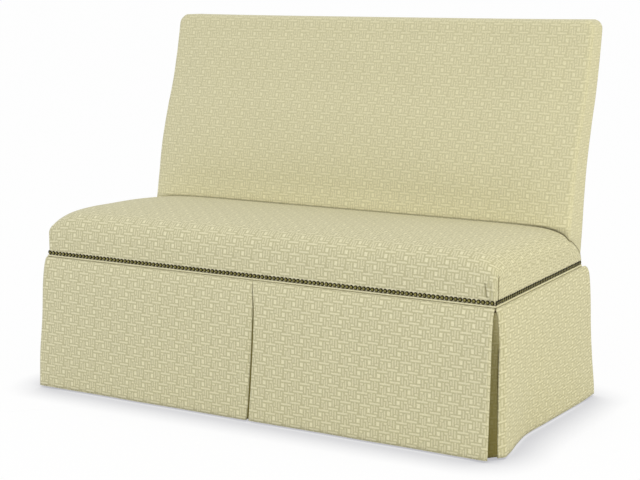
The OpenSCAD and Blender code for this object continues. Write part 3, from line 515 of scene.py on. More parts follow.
# The cloth's lattice: one repeat of bars, each with its middle, width and height in millimetres
REPEAT_W = 52
REPEAT_H = 58
BAR_ACROSS = 4.4
BAR_UP = 3.7
YARN_PITCH = 1.3
ACROSS_BARS = [(31, 7.5, 27), (57.3, 14.4, 28), (15.3, 22.3, 8), (27.8, 29, 8),
               (38.5, 36.3, 27), (65, 43.7, 28), (3.7, 51, 7.5), (41.8, 58, 8.7)]
UPRIGHT_BARS = [(5.6, 29, 17), (12.5, 35.3, 14.4), (19.4, 31.5, 12), (24.4, 18.7, 10),
                (30.6, 17.8, 14.4), (37.5, 21.5, 18), (31.9, 51.2, 17.5), (38.7, 46.9, 13.7),
                (45, 48.2, 11), (1.2, 60, 10), (7.5, 62.5, 15), (13.1, 58.4, 18)]
SQUARES = [(47.8, 25.6, 8.2, 10), (23.2, 54.7, 7.5, 10.6)]
EDGE = 0.7


def lattice_group():
    """Masks of the cloth's bars and squares at a place on the cloth, and its yarns' height."""
    tree = bpy.data.node_groups.new("lattice", "ShaderNodeTree")
    tree.interface.new_socket("Place", in_out="INPUT", socket_type="NodeSocketVector")
    for name in ("Across", "Upright", "Square", "Yarn"):
        tree.interface.new_socket(name, in_out="OUTPUT", socket_type="NodeSocketFloat")
    source = node(tree, "NodeGroupInput")
    parts = node(tree, "ShaderNodeSeparateXYZ", {0: source.outputs[0]})
    u = maths(tree, "MULTIPLY", parts.outputs[0], 1 / MM)
    v = maths(tree, "MULTIPLY", parts.outputs[1], -1 / MM)

    def near(place, middle, period, half):
        away = maths(tree, "PINGPONG", maths(tree, "SUBTRACT", place, middle), period / 2)
        return scaled(tree, away, -1 / EDGE, half / EDGE + 0.5, clamp=True)

    def bar(x, y, w, h):
        return maths(tree, "MULTIPLY", near(u, x, REPEAT_W, w / 2), near(v, y, REPEAT_H, h / 2))

    def highest(bars):
        total = bar(*bars[0])
        for b in bars[1:]:
            total = maths(tree, "MAXIMUM", total, bar(*b))
        return total

    across = highest([(x, y, w, BAR_ACROSS) for x, y, w in ACROSS_BARS])
    square = highest(SQUARES)
    upright = highest([(x, y, BAR_UP, h) for x, y, h in UPRIGHT_BARS])
    yarn = maths(tree, "MULTIPLY",
                 maths(tree, "SINE", maths(tree, "MULTIPLY", u, 2 * math.pi / YARN_PITCH)),
                 maths(tree, "SINE", maths(tree, "MULTIPLY", v, 2 * math.pi / YARN_PITCH)))
    out = node(tree, "NodeGroupOutput")
    for k, mask in enumerate((across, upright, square, yarn)):
        tree.links.new(mask, out.inputs[k])
    return tree


LATTICE = lattice_group()

# Shares of light in flecks and slubs, and of height beside the bars
FLECK_LIGHT = 0.4
SLUB_LIGHT = 0.05
UPRIGHT_RELIEF = 0.85
YARN_RELIEF = 0.22
MOTTLE_RELIEF = 0.4
CLOTH_RELIEF = 0.3
GROUND = (189, 184, 149)
# Bars across are a little lighter than the upright ones: a painted sheen along the thread
BAR_LIGHT = (214, 209, 176)
BAR_SHADED = (209, 204, 171)
SQUARE = (218, 213, 180)
# Colours of painted shade, blended in by the shade attribute in seams, creases and pleat inlays
PAINTED_SHADE = srgb(84, 75, 30)
PLEAT_PAINTED_SHADE = srgb(96, 87, 16)


def cloth_material(name, tone=1.0, contrast=1.0, shade_colour=PAINTED_SHADE):
    """The tone-on-tone lattice cloth; contrast suits it to where it is used, and tone paints it
    lighter or darker there as painted light or shade.
    """
    shown = [GROUND, BAR_SHADED, BAR_LIGHT, SQUARE]
    middle = np.mean(shown[:3], axis=0)
    ground, upright, across, square = [srgb(*mix(middle, np.array(c), contrast)) for c in shown]
    material, tree, shader = new_material(name, {
        "Roughness": 0.82, "Specular IOR Level": 0.25, "Sheen Weight": 0.12,
        "Sheen Roughness": 0.5})
    place = node(tree, "ShaderNodeUVMap", uv_map="cloth").outputs[0]
    lattice = node(tree, "ShaderNodeGroup", {0: place}, node_tree=LATTICE)
    mottle = noise(tree, place, 900.0, 2.0)
    flecks = noise(tree, place, 270.0, 2.0)
    slub = noise(tree, place, 6.0, 3.0)
    colour = blend_colour(tree, lattice.outputs["Upright"], ground, upright)
    colour = blend_colour(tree, lattice.outputs["Across"], colour, across)
    colour = blend_colour(tree, lattice.outputs["Square"], colour, square)
    # Random mottle, flecks and slubs, scaled by the tone, which is painted light or shade for
    # this copy
    light = scaled(tree, mottle, 0.1 * tone, 0.95 * tone)
    for spots, share in ((flecks, FLECK_LIGHT), (slub, SLUB_LIGHT)):
        light = maths(tree, "MULTIPLY", light, scaled(tree, spots, share, 1 - share / 2))
    # Painted shade: the shade attribute blends the colour towards the painted shade colour;
    # where it is below 0 it paints light instead and makes the colour lighter
    shade = node(tree, "ShaderNodeAttribute", attribute_name="shade")
    painted_light = scaled(tree, maths(tree, "MINIMUM", shade.outputs["Fac"], 0.0), -1, 1)
    colour = lit(tree, colour, maths(tree, "MULTIPLY", light, painted_light))
    colour = blend_colour(tree, shade.outputs["Fac"], colour, shade_colour)
    raised = maths(tree, "MAXIMUM", lattice.outputs["Across"], lattice.outputs["Square"])
    raised = maths(tree, "MAXIMUM", raised,
                   maths(tree, "MULTIPLY", lattice.outputs["Upright"], UPRIGHT_RELIEF))
    height = scaled(tree, lattice.outputs["Yarn"], YARN_RELIEF, raised)
    height = scaled(tree, mottle, MOTTLE_RELIEF, height)
    finish(tree, shader, colour, height, CLOTH_RELIEF)
    return material


def grained_wood(name, axis, light, dark):
    """Sawn hardwood whose grain runs along an axis of the bench."""
    material, tree, shader = new_material(name, {"Roughness": 0.62})
    stretch = [70.0, 70.0, 70.0]
    stretch[axis] = 3.0
    run = node(tree, "ShaderNodeMapping", {"Vector": object_place(tree),
                                           "Scale": stretch}).outputs[0]
    grain = noise(tree, run, 1.0, 8.0, Distortion=0.6)
    fine = noise(tree, run, 6.0, 4.0)
    share = scaled(tree, fine, 0.4, scaled(tree, grain, 1.6, -0.55), clamp=True)
    finish(tree, shader, blend_colour(tree, share, light, dark), share, 0.3)
    return material


def worn_metal(name, clean, dull, roughness):
    """Steel with a mottled skin."""
    material, tree, shader = new_material(name, {"Metallic": 1.0})
    spots = noise(tree, object_place(tree), 160.0, 5.0)
    share = scaled(tree, spots, 2.4, -0.7, clamp=True)
    rough = scaled(tree, share, 0.2, roughness)
    tree.links.new(rough, shader.inputs["Roughness"])
    finish(tree, shader, blend_colour(tree, share, clean, dull), spots, 0.1)
    return material


def nail_material():
    """Antiqued brass heads: rims dark with patina and painted shade, the crown lighter from
    rubbing and a painted highlight.
    """
    material, tree, shader = new_material("antique_brass", {"Metallic": 0.85,
                                                            "Roughness": 0.42})
    place = node(tree, "ShaderNodeUVMap", uv_map="cloth").outputs[0]
    parts = node(tree, "ShaderNodeSeparateXYZ", {0: place})
    spots = noise(tree, object_place(tree), 420.0, 4.0)
    uneven = scaled(tree, spots, 0.5, -0.25)
    reach = maths(tree, "ADD", maths(tree, "MULTIPLY", parts.outputs[0], 1 / MM), uneven)
    # The crown is lighter from rubbing and a painted highlight; the rim is dark with patina and
    # painted shade
    rubbed_and_highlit = scaled(tree, reach, -0.62, 2.35, clamp=True)
    colour = blend_colour(tree, rubbed_and_highlit, srgb(32, 27, 8), srgb(128, 122, 70))
    tone = scaled(tree, parts.outputs[1], 0.35 / MM, 0.8)
    finish(tree, shader, lit(tree, colour, tone), spots, 0.15)
    return material


def plain_cloth(name, light, dark, pitch):
    """A plain woven cloth, such as jute or cambric, from two crossed rows of threads."""
    material, tree, shader = new_material(name, {"Roughness": 0.9})
    place = object_place(tree)
    parts = node(tree, "ShaderNodeSeparateXYZ", {0: place})
    turns = 2 * math.pi / (pitch * MM)
    waves = [maths(tree, "SINE", maths(tree, "MULTIPLY", parts.outputs[k], turns))
             for k in range(3)]
    weave = maths(tree, "MULTIPLY", waves[0], maths(tree, "ADD", waves[1], waves[2]))
    share = scaled(tree, weave, 0.25, noise(tree, place, 300.0, 4.0), clamp=True)
    finish(tree, shader, blend_colour(tree, share, dark, light), share, 0.4)
    return material


def speckled(name, light, dark, scale, roughness):
    """Board or moulded plastic with a fine speckle."""
    material, tree, shader = new_material(name, {"Roughness": roughness})
    spots = noise(tree, object_place(tree), scale, 6.0)
    finish(tree, shader, blend_colour(tree, spots, dark, light), spots, 0.1)
    return material


# Copies of one cloth with painted light and shade: lighter on the welts and a little on the
# back, darker in the pleats, whose inlays also blend towards their own painted shade colour
CLOTH = cloth_material("lattice_cloth", 1.0, 1.12)
BACK_CLOTH = cloth_material("lattice_cloth_painted_lighter_on_back", 1.02, 0.68)
WELT_CLOTH = cloth_material("lattice_cloth_painted_lighter_on_welts", 1.14, 0.3)
PLEAT_CLOTH = cloth_material("lattice_cloth_painted_darker_in_pleats", 0.9, shade_colour=PLEAT_PAINTED_SHADE)
BRASS = nail_material()


def dress_frame():
    """Gives every node of the frame that stays in sight its own finish."""
    light, dark = srgb(196, 160, 112), srgb(142, 104, 64)
    woods = [grained_wood(f"hardwood_{'xyz'[k]}", k, light, dark) for k in range(3)]
    dowel = grained_wood("dowel_beech", 0, srgb(218, 188, 142), srgb(178, 142, 96))
    zinc = worn_metal("zinc_plate", srgb(188, 188, 184), srgb(140, 140, 138), 0.35)
    wire = worn_metal("spring_wire", srgb(84, 82, 80), srgb(52, 47, 42), 0.4)
    strip = worn_metal("clip_strip", srgb(128, 130, 132), srgb(92, 92, 92), 0.42)
    jute = plain_cloth("jute_web", srgb(172, 146, 100), srgb(112, 92, 58), 3.0)
    board = speckled("tack_board", srgb(176, 150, 112), srgb(128, 104, 74), 260.0, 0.85)
    plastic = speckled("glide_plastic", srgb(58, 55, 52), srgb(38, 36, 34), 700.0, 0.5)
    finishes = [
        (woods[0], "front_rail", "rear_rail", "back_top_rail", "back_lower_rail",
         "corner_blocks"),
        (woods[1], "left_side_rail", "right_side_rail", "seat_cross_rail"),
        (woods[2], "left_front_leg", "right_front_leg", "left_back_post", "right_back_post",
         "back_stile"),
        (dowel, "frame_dowels"), (zinc, "corner_bolts"), (wire, "seat_springs"),
        (strip, "spring_clips"), (jute, "back_webs"), (plastic, "glides"),
        (board, "back_tack_strips", "skirt_tack_strips"),
    ]
    for material, *names in finishes:
        for name in names:
            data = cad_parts[name].data
            data.materials.clear()
            data.materials.append(material)


# Seat

FINE = 1.4
COARSE = 9
EDGE_REACH = 46
SEAT_LEVELS = 30
BACK_LEVELS = 20


def seat_height(end, y):
    """Height of the seat's top at a distance from its end and from its front."""
    e = curve(FRONT_ROLL_SHARES, y / BASE_D)
    b = curve(END_ROLL_SHARES, end / BASE_D)
    fall = CROWN_FALL * curve(FALL_SHARES, np.maximum(0, (y - CROWN_Y) / (JOIN_Y - CROWN_Y)))
    sink = 1 - CORNER_SINK * np.exp(-(end**2 + y**2) / EDGE_REACH**2)
    return RIM_Z + (CROWN_H - fall) * soft_min(e, b) * sink


def seam_shade(from_right, away):
    """Painted shade in the seam between seat and back, darkest at its right-hand end."""
    dark = mix(*SEAM_PAINTED_SHADE, np.exp(-((from_right / SEAM_PAINTED_SHADE_REACH) ** 2)))
    return dark * np.exp(-((away / SEAM_LINE) ** 2))


def tuck_rows(steps):
    """Depths and heights of the seat's tuck under the back, along its bent line."""
    shares = np.array(TUCK_SHARES)
    at = np.linspace(0, len(shares) - 1, steps)
    s = np.interp(at, np.arange(len(shares)), shares[:, 0])
    h = np.interp(at, np.arange(len(shares)), shares[:, 1])
    return mix(JOIN_Y, TUCK_END, s), RIM_Z + mix(RAIL_RISE, TUCK_H, h)


SEAT_FOOT_Z = RIM_Z - NAIL_HEAD_D / 2 + GAP

# The tuck at each front corner: where each of the creases starts and ends, from the corner and
# up from the nails, then its reach, its depth (less than 0 is a raised fold) and its painted
# shade
FRONT_CREASES = [((27, 42), (22, 12), 1.9, 1.4, 0.65), ((15, 46), (9, 9), 2.4, 0.8, 0.2),
                 ((38, 28), (14, 4), 2.4, 0.7, 0.16), ((20, 46), (14, 9), 2.4, -0.6, 0)]
LEFT_CREASES = 0.12
SIDE_CREASES = [((17, 62), (15, 4), 3.2, 2.2, 0.95), ((9, 60), (8, 6), 3.5, -0.9, 0)]


def along_line(a, b, start, end, reach):
    """How near places lie to a straight line: 1 on it, fading over reach."""
    start = np.array(start, float)
    run = np.array(end, float) - start
    place = np.stack([a, b], axis=-1) - start
    t = np.clip(place @ run / (run @ run), 0, 1)
    away = np.linalg.norm(place - t[..., None] * run, axis=-1)
    return np.exp(-((away / reach) ** 2))


def creased(grid, away, outwards, creases, keep=1.0):
    """Presses creases into a wall of the seat, and gives the wall and the painted shade in its
    creases.
    """
    height = grid[..., 2] - RIM_Z
    depth, shade = np.zeros(height.shape), np.zeros(height.shape)
    for start, end, reach, deep, dark in creases:
        share = along_line(away, height, start, end, reach) * keep
        depth = depth + deep * share
        shade = np.maximum(shade, dark * share)
    level = np.arange(len(grid))[:, None]
    edges = up_to(np.minimum(level, len(grid) - 1 - level), 2)
    depth = depth * edges * up_to(away - SEAT_CORNER_R * 0.3, 4)
    return grid - depth[..., None] * np.array(outwards, float), shade


def make_seat():
    xs = both_ways(SEAT_HW, FINE, COARSE, EDGE_REACH)
    ys = from_both_ends(JOIN_Y, FINE, COARSE, EDGE_REACH)
    tuck_y, tuck_z = tuck_rows(9)
    rows_y = np.concatenate([ys, tuck_y])
    caps = np.concatenate([np.full(len(ys), TOTAL_H), tuck_z])
    x, y = np.meshgrid(xs, rows_y)
    cap = np.repeat(caps[:, None], len(xs), axis=1)
    end = SEAT_HW - np.abs(x)
    before = np.maximum(JOIN_Y - y, 0)
    z = np.minimum(seat_height(end, np.minimum(y, JOIN_Y)), cap)
    fullness = up_to(end, FULL_REACH) * up_to(y, FULL_REACH) * up_to(before, SEAT_EVEN)
    z = z + SEAT_UNEVEN * slow_noise(x, y, 0.7) * fullness
    z = z - SEAM_SINK * np.exp(-before / SEAM_REACH) * (before > 0)
    tucked = np.maximum(z, np.minimum(cap, RIM_Z + TUCK_H))
    z = mix(z, tucked, np.clip(1 - before / EDGE_REACH, 0, 1))
    plan_end, plan_y = rounded(end, y, SEAT_CORNER_R)
    top = np.stack([np.sign(x) * (SEAT_HW - plan_end), plan_y, z], axis=2)
    uv = from_middle(top)

    def side(border, border_uv, towards, creases):
        outwards = (*towards, 0)
        low = border.copy()
        low[:, 2] = SEAT_FOOT_Z
        grid, places = wall(border, border_uv, low, towards, SEAT_LEVELS)
        away = grid[..., 1] if outwards[0] else SEAT_HW - np.abs(grid[..., 0])
        keep = np.where(grid[..., 0] > 0, 1, LEFT_CREASES) if outwards[1] else 1.0
        grid, shade = creased(grid, away, outwards, creases, keep)
        # Painted shade along the tuck line, where the wall runs in under the back
        below = border[None, :, 2] - grid[..., 2]
        tucked = np.clip((grid[..., 1] - JOIN_Y) / SEAM_REACH + 1, 0, 1)
        return (grid, places), np.maximum(shade, tucked * seam_shade(0, below))

    creases = (FRONT_CREASES, SIDE_CREASES, [], SIDE_CREASES)
    sides = [side(*border, pressed) for border, pressed in zip(borders(top, uv), creases)]
    patches = [(top, uv)] + [patch for patch, _ in sides]
    # Painted shade at the seam on the top, and in the creases and along the tuck line on the
    # walls
    shades = [seam_shade(SEAT_HW - x, before)] + [shade for _, shade in sides]
    seat = build("seat_cushion", patches, CLOTH, shades=shades)

    def free(places):
        x, y, z = (places / MM - [0, HOME_Y, 0]).T
        return (freed(SEAT_HW - np.abs(x)) * freed(y) * freed(JOIN_Y - y, 50)
                * freed(z - RIM_Z, start=0.3))

    simulated(seat, SWELL * MM, free)
    worn_by_root(seat, "cover_fabric", "seat_cover", "seat_foam", "spring_pad",
                 "seat_edge_roll")


# Back

def dipped(x, z):
    """The back's top edge lies a little lower between its corners."""
    near_top = np.clip((z - TOTAL_H) / TOP_DIP_REACH + 1, 0, 1)
    return z - TOP_DIP * (1 - (np.abs(x) / BACK_HW) ** 4) * near_top


def make_back():
    xs = both_ways(BACK_HW, FINE, COARSE, EDGE_REACH)
    drops = from_both_ends(TOTAL_H - JOIN_Z, FINE, COARSE, EDGE_REACH)
    tuck_y, tuck_z = tuck_rows(24)
    behind_z = np.linspace(tuck_z[0], JOIN_Z, 14)[1:-1]
    rows_z = np.concatenate([tuck_z[::-1], behind_z, (TOTAL_H - drops)[::-1]])
    holds = np.concatenate([tuck_y[::-1] + 2 * GAP, np.full(len(behind_z), JOIN_Y + 2 * GAP),
                            np.zeros(len(drops))])
    x, row = np.meshgrid(xs, rows_z)
    hold = np.repeat(holds[:, None], len(xs), axis=1)
    thick = back_thick(row)
    end = BACK_HW - np.abs(x)
    side = curve(BACK_ROLL_SHARES, np.minimum(2, end / thick))
    low_side = curve(LOW_ROLL_SHARES, np.minimum(2, end / thick))
    side = mix(low_side, side, up_to(row - tuck_z[0], LOW_BLEND))
    top = curve(BACK_ROLL_SHARES, np.minimum(2, (TOTAL_H - row) / thick))
    depth = np.minimum(thick * soft_min(side, top), rear_y(row) - hold)
    inside = (up_to(end, FULL_REACH) * up_to(TOTAL_H - row, FULL_REACH)
              * up_to(row - JOIN_Z, BACK_EVEN))
    depth = depth + BACK_UNEVEN * slow_noise(x, row, 2.3) * inside
    above = np.abs(row - seat_height(end, JOIN_Y))
    depth = depth - SEAM_SINK * np.exp(-above / SEAM_REACH)
    plan_end, plan_top = rounded(end, TOTAL_H - row, BACK_CORNER_R)
    z = dipped(x, TOTAL_H - plan_top)
    front = np.stack([np.sign(x) * (BACK_HW - plan_end), rear_y(z) - depth, z], axis=2)
    uv = from_middle(front)

    def foot(border):
        back = border.copy()
        back[:, 1] = rear_y(back[:, 2])
        return back

    patches = [(front, uv)] + [wall(b, w, foot(b), t, BACK_LEVELS)
                               for b, w, t in borders(front, uv)]
    behind = front.copy()
    behind[:, :, 1] = rear_y(behind[:, :, 2])
    patches.append((behind, uv))
    # Painted shade along the seam and down the tuck line at the sides, and painted light on the
    # back's face above the seam
    tucked = up_to(RIM_Z + TUCK_H - row[:, 0], SEAM_REACH)
    seam = seam_shade(BACK_HW - x, above)
    painted_light = SEAM_PAINTED_LIGHT * np.exp(-above / SEAM_PAINTED_LIGHT_REACH) * (row > JOIN_Z) * (1 - seam)
    shades = [seam - painted_light] + [np.zeros(g.shape[:2]) for g, _ in patches[1:]]
    for k in (2, 4):
        side = patches[k][0]
        away = np.linalg.norm(side - side[:1], axis=2)
        shades[k] = tucked * seam_shade(0, away)
    back = build("back_cushion", patches, BACK_CLOTH, shades=shades)

    def free(places):
        x, y, z = (places / MM - [0, HOME_Y, 0]).T
        return (freed(BACK_HW - np.abs(x)) * freed(TOTAL_H - z) * freed(z - JOIN_Z)
                * freed(rear_y(z) - y, 40, 0.5))

    simulated(back, SWELL * MM, free)
    worn_by_root(back, "cover_fabric", "back_cover", "back_foam")


def make_outside_back():
    side = BACK_HW - FRAME_IN
    top = TOTAL_H - FRAME_IN
    low = RIM_Z + NAIL_SHANK_D / 2 + GAP
    xs = both_ways(side, 3, 18, 30)
    zs = top - stations(top - low, 3, 14, 30)
    x, z = np.meshgrid(xs, zs)
    plan_end, plan_top = rounded(side - np.abs(x), top - z, BACK_CORNER_R)
    z = dipped(x, top - plan_top)
    grid = np.stack([np.sign(x) * (side - plan_end), rear_y(z) + PANEL_OUT, z], axis=2)
    uv = np.stack([-grid[:, :, 0], grid[:, :, 2]], axis=2)
    panel = build("outside_back_panel", [(grid, uv)], CLOTH, closed=False)
    solid_cloth(panel, OUTSIDE_T)
    worn_by_root(panel, "cover_fabric", "outside_back")


# Skirt

def hang(flare, shares, heading):
    """A skirt's section, heading first: offsets outwards, heights and shares of the drop."""
    drops = np.concatenate([[0.002, 0.006], stations(1, 0.008, 0.03, 0.08)[1:]])
    drops = np.unique(np.concatenate([drops, [SHOULDER, 0.03, 0.045]]))
    out = flare * curve(shares, drops)
    shoulder = flare * shares[0][1] * 0.6
    out = np.where(drops < SHOULDER, mix(shoulder, out, np.sqrt(drops / SHOULDER)), out)
    out = np.concatenate([[heading, shoulder], out])
    z = SKIRT_TOP - np.concatenate([[0, 0], drops]) * SKIRT_DROP
    return out, z, np.concatenate([[0, 0], drops])


def wave(u, v):
    return -WAVE_H * (np.sin(math.pi * WAVE_COUNT * u) * np.sin(math.pi * u)) ** 2 * v


def bowed(u, v):
    """How far a side panel hangs in between its corners, most towards the hem."""
    return SIDE_BOW * curve(BOW_SHARES, u) * v**1.6


def side_wave(u, v):
    return wave(u, v) - bowed(u, v)


def level(u, v):
    return 0 * u * v


PANEL_SHARES = from_both_ends(1, 0.003, 0.016, 0.03)
HEADING_IN = GAP - FRAME_IN
FRONT_HANG = hang(FLARE_FRONT, HANG_SHARES, HEADING_IN)
SIDE_HANG = hang(FLARE_SIDE, SIDE_HANG_SHARES, HEADING_IN)
REAR_HANG = hang(FLARE_REAR, REAR_HANG_SHARES,
                 float(rear_y(RIM_Z)) - POST_IN + GAP - BASE_D)


def edge_of(shares, at_heading, base, unit, drops):
    """Where a panel's edge lies at each row: at_heading on the heading, then on its curve."""
    line = base + unit * curve(shares, drops)
    line[:2] = at_heading
    return line


def panel(starts, ends, section, place, shares=PANEL_SHARES, ripple=wave,
          turns=(NO_TURN, NO_TURN)):
    """A grid of points between two edges of a panel, with its places on the cloth."""
    out, z, drops = section
    t = shares[None, :]
    along = mix(starts[:, None], ends[:, None], t)
    offset = out[:, None] + ripple(t, drops[:, None])
    for edge, (draw, reach) in zip((starts, ends), turns):
        near = np.exp(-(((along - edge[:, None]) / reach) ** 2))
        offset = offset - draw * np.maximum(out[:, None], 0) * near
    height = np.repeat(z[:, None], len(shares), axis=1)
    grid = place(along, offset, height)
    run = lengths_along(grid, 0)
    return grid, np.stack([along, -run], axis=2)


def on_front(a, o, z):
    return np.stack([a, -o, z], axis=2)


def on_right(a, o, z):
    return np.stack([SEAT_HW + o, a, z], axis=2)


def on_rear(a, o, z):
    return np.stack([-a, BASE_D + o, z], axis=2)


def mirrored(grid, uv):
    """The same panel at the other end of the bench, facing outwards again."""
    return (grid * [-1, 1, 1])[:, ::-1], uv[:, ::-1] * [-1, 1]


def hang_sheet(name, part, slot, cloth, grid, uv, shades=None):
    """Builds a hung sheet and gives it its thickness."""
    piece = build(name + part, [(grid[::-1], uv[::-1])], cloth, closed=False, shades=shades)
    solid_cloth(piece, SKIRT_T)
    worn_by_root(piece, slot, name)


def make_skirts():
    drops = FRONT_HANG[2]
    centre_left = edge_of(PLEAT_LEFT_SHARES, PLEAT_X - GAP, PLEAT_X - GAP, PLEAT_OPEN, drops)
    centre_right = edge_of(PLEAT_RIGHT_SHARES, PLEAT_X + GAP, PLEAT_X + GAP, PLEAT_OPEN,
                           drops)
    right_end = edge_of(CORNER_RIGHT_SHARES, FRAME_HW, SEAT_HW, CORNER_OPEN, drops)
    left_end = edge_of(CORNER_LEFT_SHARES, FRAME_HW, SEAT_HW, CORNER_OPEN, drops)
    side_start = edge_of(CORNER_SIDE_SHARES, FRAME_IN + GAP, 0, CORNER_OPEN, drops)
    side_end = BASE_D + REAR_HANG[0] - SKIRT_T
    side_end[:2] = BASE_D - POST_IN
    rear_end = SEAT_HW + SIDE_HANG[0] - CORNER_OPEN
    rear_end[:2] = FRAME_HW - GAP
    right = panel(side_start, side_end, SIDE_HANG, on_right, ripple=side_wave,
                  turns=(SIDE_TURN_IN, NO_TURN))
    grids = {
        "front_left_skirt": panel(-left_end, centre_left, FRONT_HANG, on_front,
                                  turns=(FRONT_TURN_IN, FRONT_TURN_IN)),
        "front_right_skirt": panel(centre_right, right_end, FRONT_HANG, on_front,
                                   turns=(NO_TURN, FRONT_TURN_IN)),
        "right_skirt": right,
        "left_skirt": mirrored(*right),
        "rear_skirt": panel(-rear_end, rear_end, REAR_HANG, on_rear, ripple=level),
    }
    for name, (grid, uv) in grids.items():
        hang_sheet(name, "_panel", "cover_fabric", CLOTH, grid, uv)


def drawn_in(section, t):
    """A section moved in by t, square to itself."""
    out, z, drops = section
    a = np.maximum(np.arange(len(out)) - 1, 0)
    b = np.minimum(np.arange(len(out)) + 1, len(out) - 1)
    run, fall = out[b] - out[a], z[b] - z[a]
    size = np.hypot(run, fall)
    moved = z - run / size * t
    moved[-1] = z[-1]
    return out + fall / size * t, moved, drops


def inlay_section(section):
    """The part of a skirt's section that an inlay hangs from, close in at its top."""
    out, z, drops = drawn_in(section, SKIRT_T + 2 * GAP)
    keep = drops >= INLAY_TOP
    out = out - INLAY_CLOSE * np.exp(-(drops - INLAY_TOP) / INLAY_TOP)
    shorter = 1 - INLAY_RISE / SKIRT_DROP
    return out[keep], SKIRT_TOP - (SKIRT_TOP - z[keep]) * shorter, drops[keep]


def corner_inlay(near, sides, along):
    """An inlay behind a corner's opening, cut back further from the corner towards the hem."""
    _, z, drops = near
    out = np.interp(drops, sides[2], sides[0])[:, None]
    x = SEAT_HW + out
    y = (-near[0] if along < 0 else BASE_D + near[0])[:, None]
    deeper = up_to(drops, INLAY_DEEP_SHARE)[:, None]
    cut = mix(INLAY_CUT_TOP, INLAY_CUT, deeper)
    bulge = cut * mix(*INLAY_BULGE_SHARES, deeper) / math.sqrt(2)
    arm = np.linspace(0, 1, 16)[None, :]
    turn = np.linspace(0, 1, 17)[None, 1:-1]
    swell = bulge * np.sin(math.pi * turn)
    plan_x = np.concatenate([x - mix(INLAY_W, cut, arm), x - cut * (1 - turn) + swell,
                             x + 0 * arm], axis=1)
    plan_y = np.concatenate([y + 0 * arm, y - along * (cut * turn - swell),
                             y - along * mix(cut, INLAY_W, arm)], axis=1)
    start = CORNER_OPEN * curve(CORNER_SIDE_SHARES, drops)[:, None]
    stop = BASE_D + np.interp(drops, REAR_HANG[2], REAR_HANG[0])[:, None]
    bow = bowed(up_to(plan_y - start, stop - start), drops[:, None])
    draw, reach = SIDE_TURN_IN
    turned = 1 - draw * np.exp(-((np.maximum(plan_y - start, 0) / reach) ** 2))
    plan_x = np.minimum(plan_x, SEAT_HW + out * turned - bow)
    grid = np.stack([plan_x, plan_y, z[:, None] + 0 * plan_x], axis=2)
    uv = np.stack([lengths_along(grid, 1), -lengths_along(grid, 0)], axis=2)
    return (grid[:, ::-1], uv[:, ::-1]) if along > 0 else (grid, uv)


def make_pleats():
    section = inlay_section(FRONT_HANG)
    half = np.full(len(section[0]), float(INLAY_W))
    grids = {"centre_pleat": panel(PLEAT_X - half, PLEAT_X + half, section, on_front,
                                   np.linspace(0, 1, 31), ripple=level)}
    sides = inlay_section(SIDE_HANG)
    for name, end_hang, along in (("front", FRONT_HANG, -1), ("rear", REAR_HANG, 1)):
        right = corner_inlay(inlay_section(end_hang), sides, along)
        grids[f"{name}_right_pleat"] = right
        grids[f"{name}_left_pleat"] = mirrored(*right)
    for name, (grid, uv) in grids.items():
        # Painted shade on the inlays, darker further down towards the hem
        fallen = (SKIRT_TOP - grid[..., 2]) / SKIRT_DROP
        shade = mix(*CORNER_PAINTED_SHADE, fallen**0.6)
        if name == "centre_pleat":
            shade = mix(*CENTRE_PAINTED_SHADE, up_to(fallen, 0.1))
        hang_sheet(name, "_inlay", "pleat_fabric", PLEAT_CLOTH, grid, uv, [shade[::-1]])


# Trim

CORD_STEP = 4
CORD_SIDES = 16
CORD_END = 1.5


def make_welts():
    out = GAP + WELT_D / 2
    reach = FRAME_HW + out + WELT_D / 2
    rear = float(rear_y(WELT_Z)) - POST_IN + out
    runs = {
        "front_welt": ((-reach, FRAME_IN - out), (reach, FRAME_IN - out)),
        "right_welt": ((FRAME_HW + out, FRAME_IN), (FRAME_HW + out, BASE_D)),
        "rear_welt": ((FRAME_HW - GAP, rear), (GAP - FRAME_HW, rear)),
        "left_welt": ((-FRAME_HW - out, BASE_D), (-FRAME_HW - out, FRAME_IN)),
    }
    for name, (start, end) in runs.items():
        a, b = np.array([*start, WELT_Z]), np.array([*end, WELT_Z])
        length = float(np.linalg.norm(b - a))
        along = (b - a) / length
        across = np.array([along[1], -along[0], 0])
        at = np.linspace(0, length, int(length / CORD_STEP))[:, None]
        angle = np.linspace(0, 2 * math.pi, CORD_SIDES + 1)[None, :]
        r = WELT_D / 2 * (1 + 0.03 * np.sin(at * 0.31) * np.sin(at * 0.083))
        end_gap = np.minimum(at, length - at)
        r = r * np.sqrt(np.clip(end_gap / CORD_END, 0.05, 1))
        ring = np.cos(angle)[..., None] * across + np.sin(angle)[..., None] * [0, 0, 1]
        grid = a + at[..., None] * along + r[..., None] * ring
        uv = np.stack([at + 0 * angle, angle * WELT_D / 2 + 0 * at], axis=2)
        piece = build(name + "_cord", [(grid, uv)], WELT_CLOTH)
        worn_by_root(piece, "welt_fabric", name)


HEAD_STEPS = 8
HEAD_SIDES = 20
NAIL_SEED = 11
NAIL_SLIP = 0.12
NAIL_TILT = 0.03


def nail_points(rng, shank):
    """One nail along +Z, its head's crown at -Z, with each point's distance from its axis."""
    a = np.linspace(0, math.pi / 2, HEAD_STEPS)
    radius = np.concatenate([[0.0, NAIL_SHANK_D / 2, NAIL_SHANK_D / 2],
                             NAIL_HEAD_D / 2 * np.cos(a) ** 0.9])
    height = np.concatenate([[shank, shank - NAIL_SHANK_D, 0], -NAIL_DOME * np.sin(a) ** 1.1])
    turn = np.linspace(0, 2 * math.pi, HEAD_SIDES + 1)[None, :]
    tone = rng.random()
    tilt = rng.normal(0, NAIL_TILT, 2)
    x = radius[:, None] * np.cos(turn)
    y = radius[:, None] * np.sin(turn)
    z = height[:, None] + tilt[0] * x + tilt[1] * y
    grid = np.stack([x, y, z], axis=2)
    uv = np.stack([radius[:, None] + 0 * x, tone + 0 * x], axis=2)
    return grid, uv


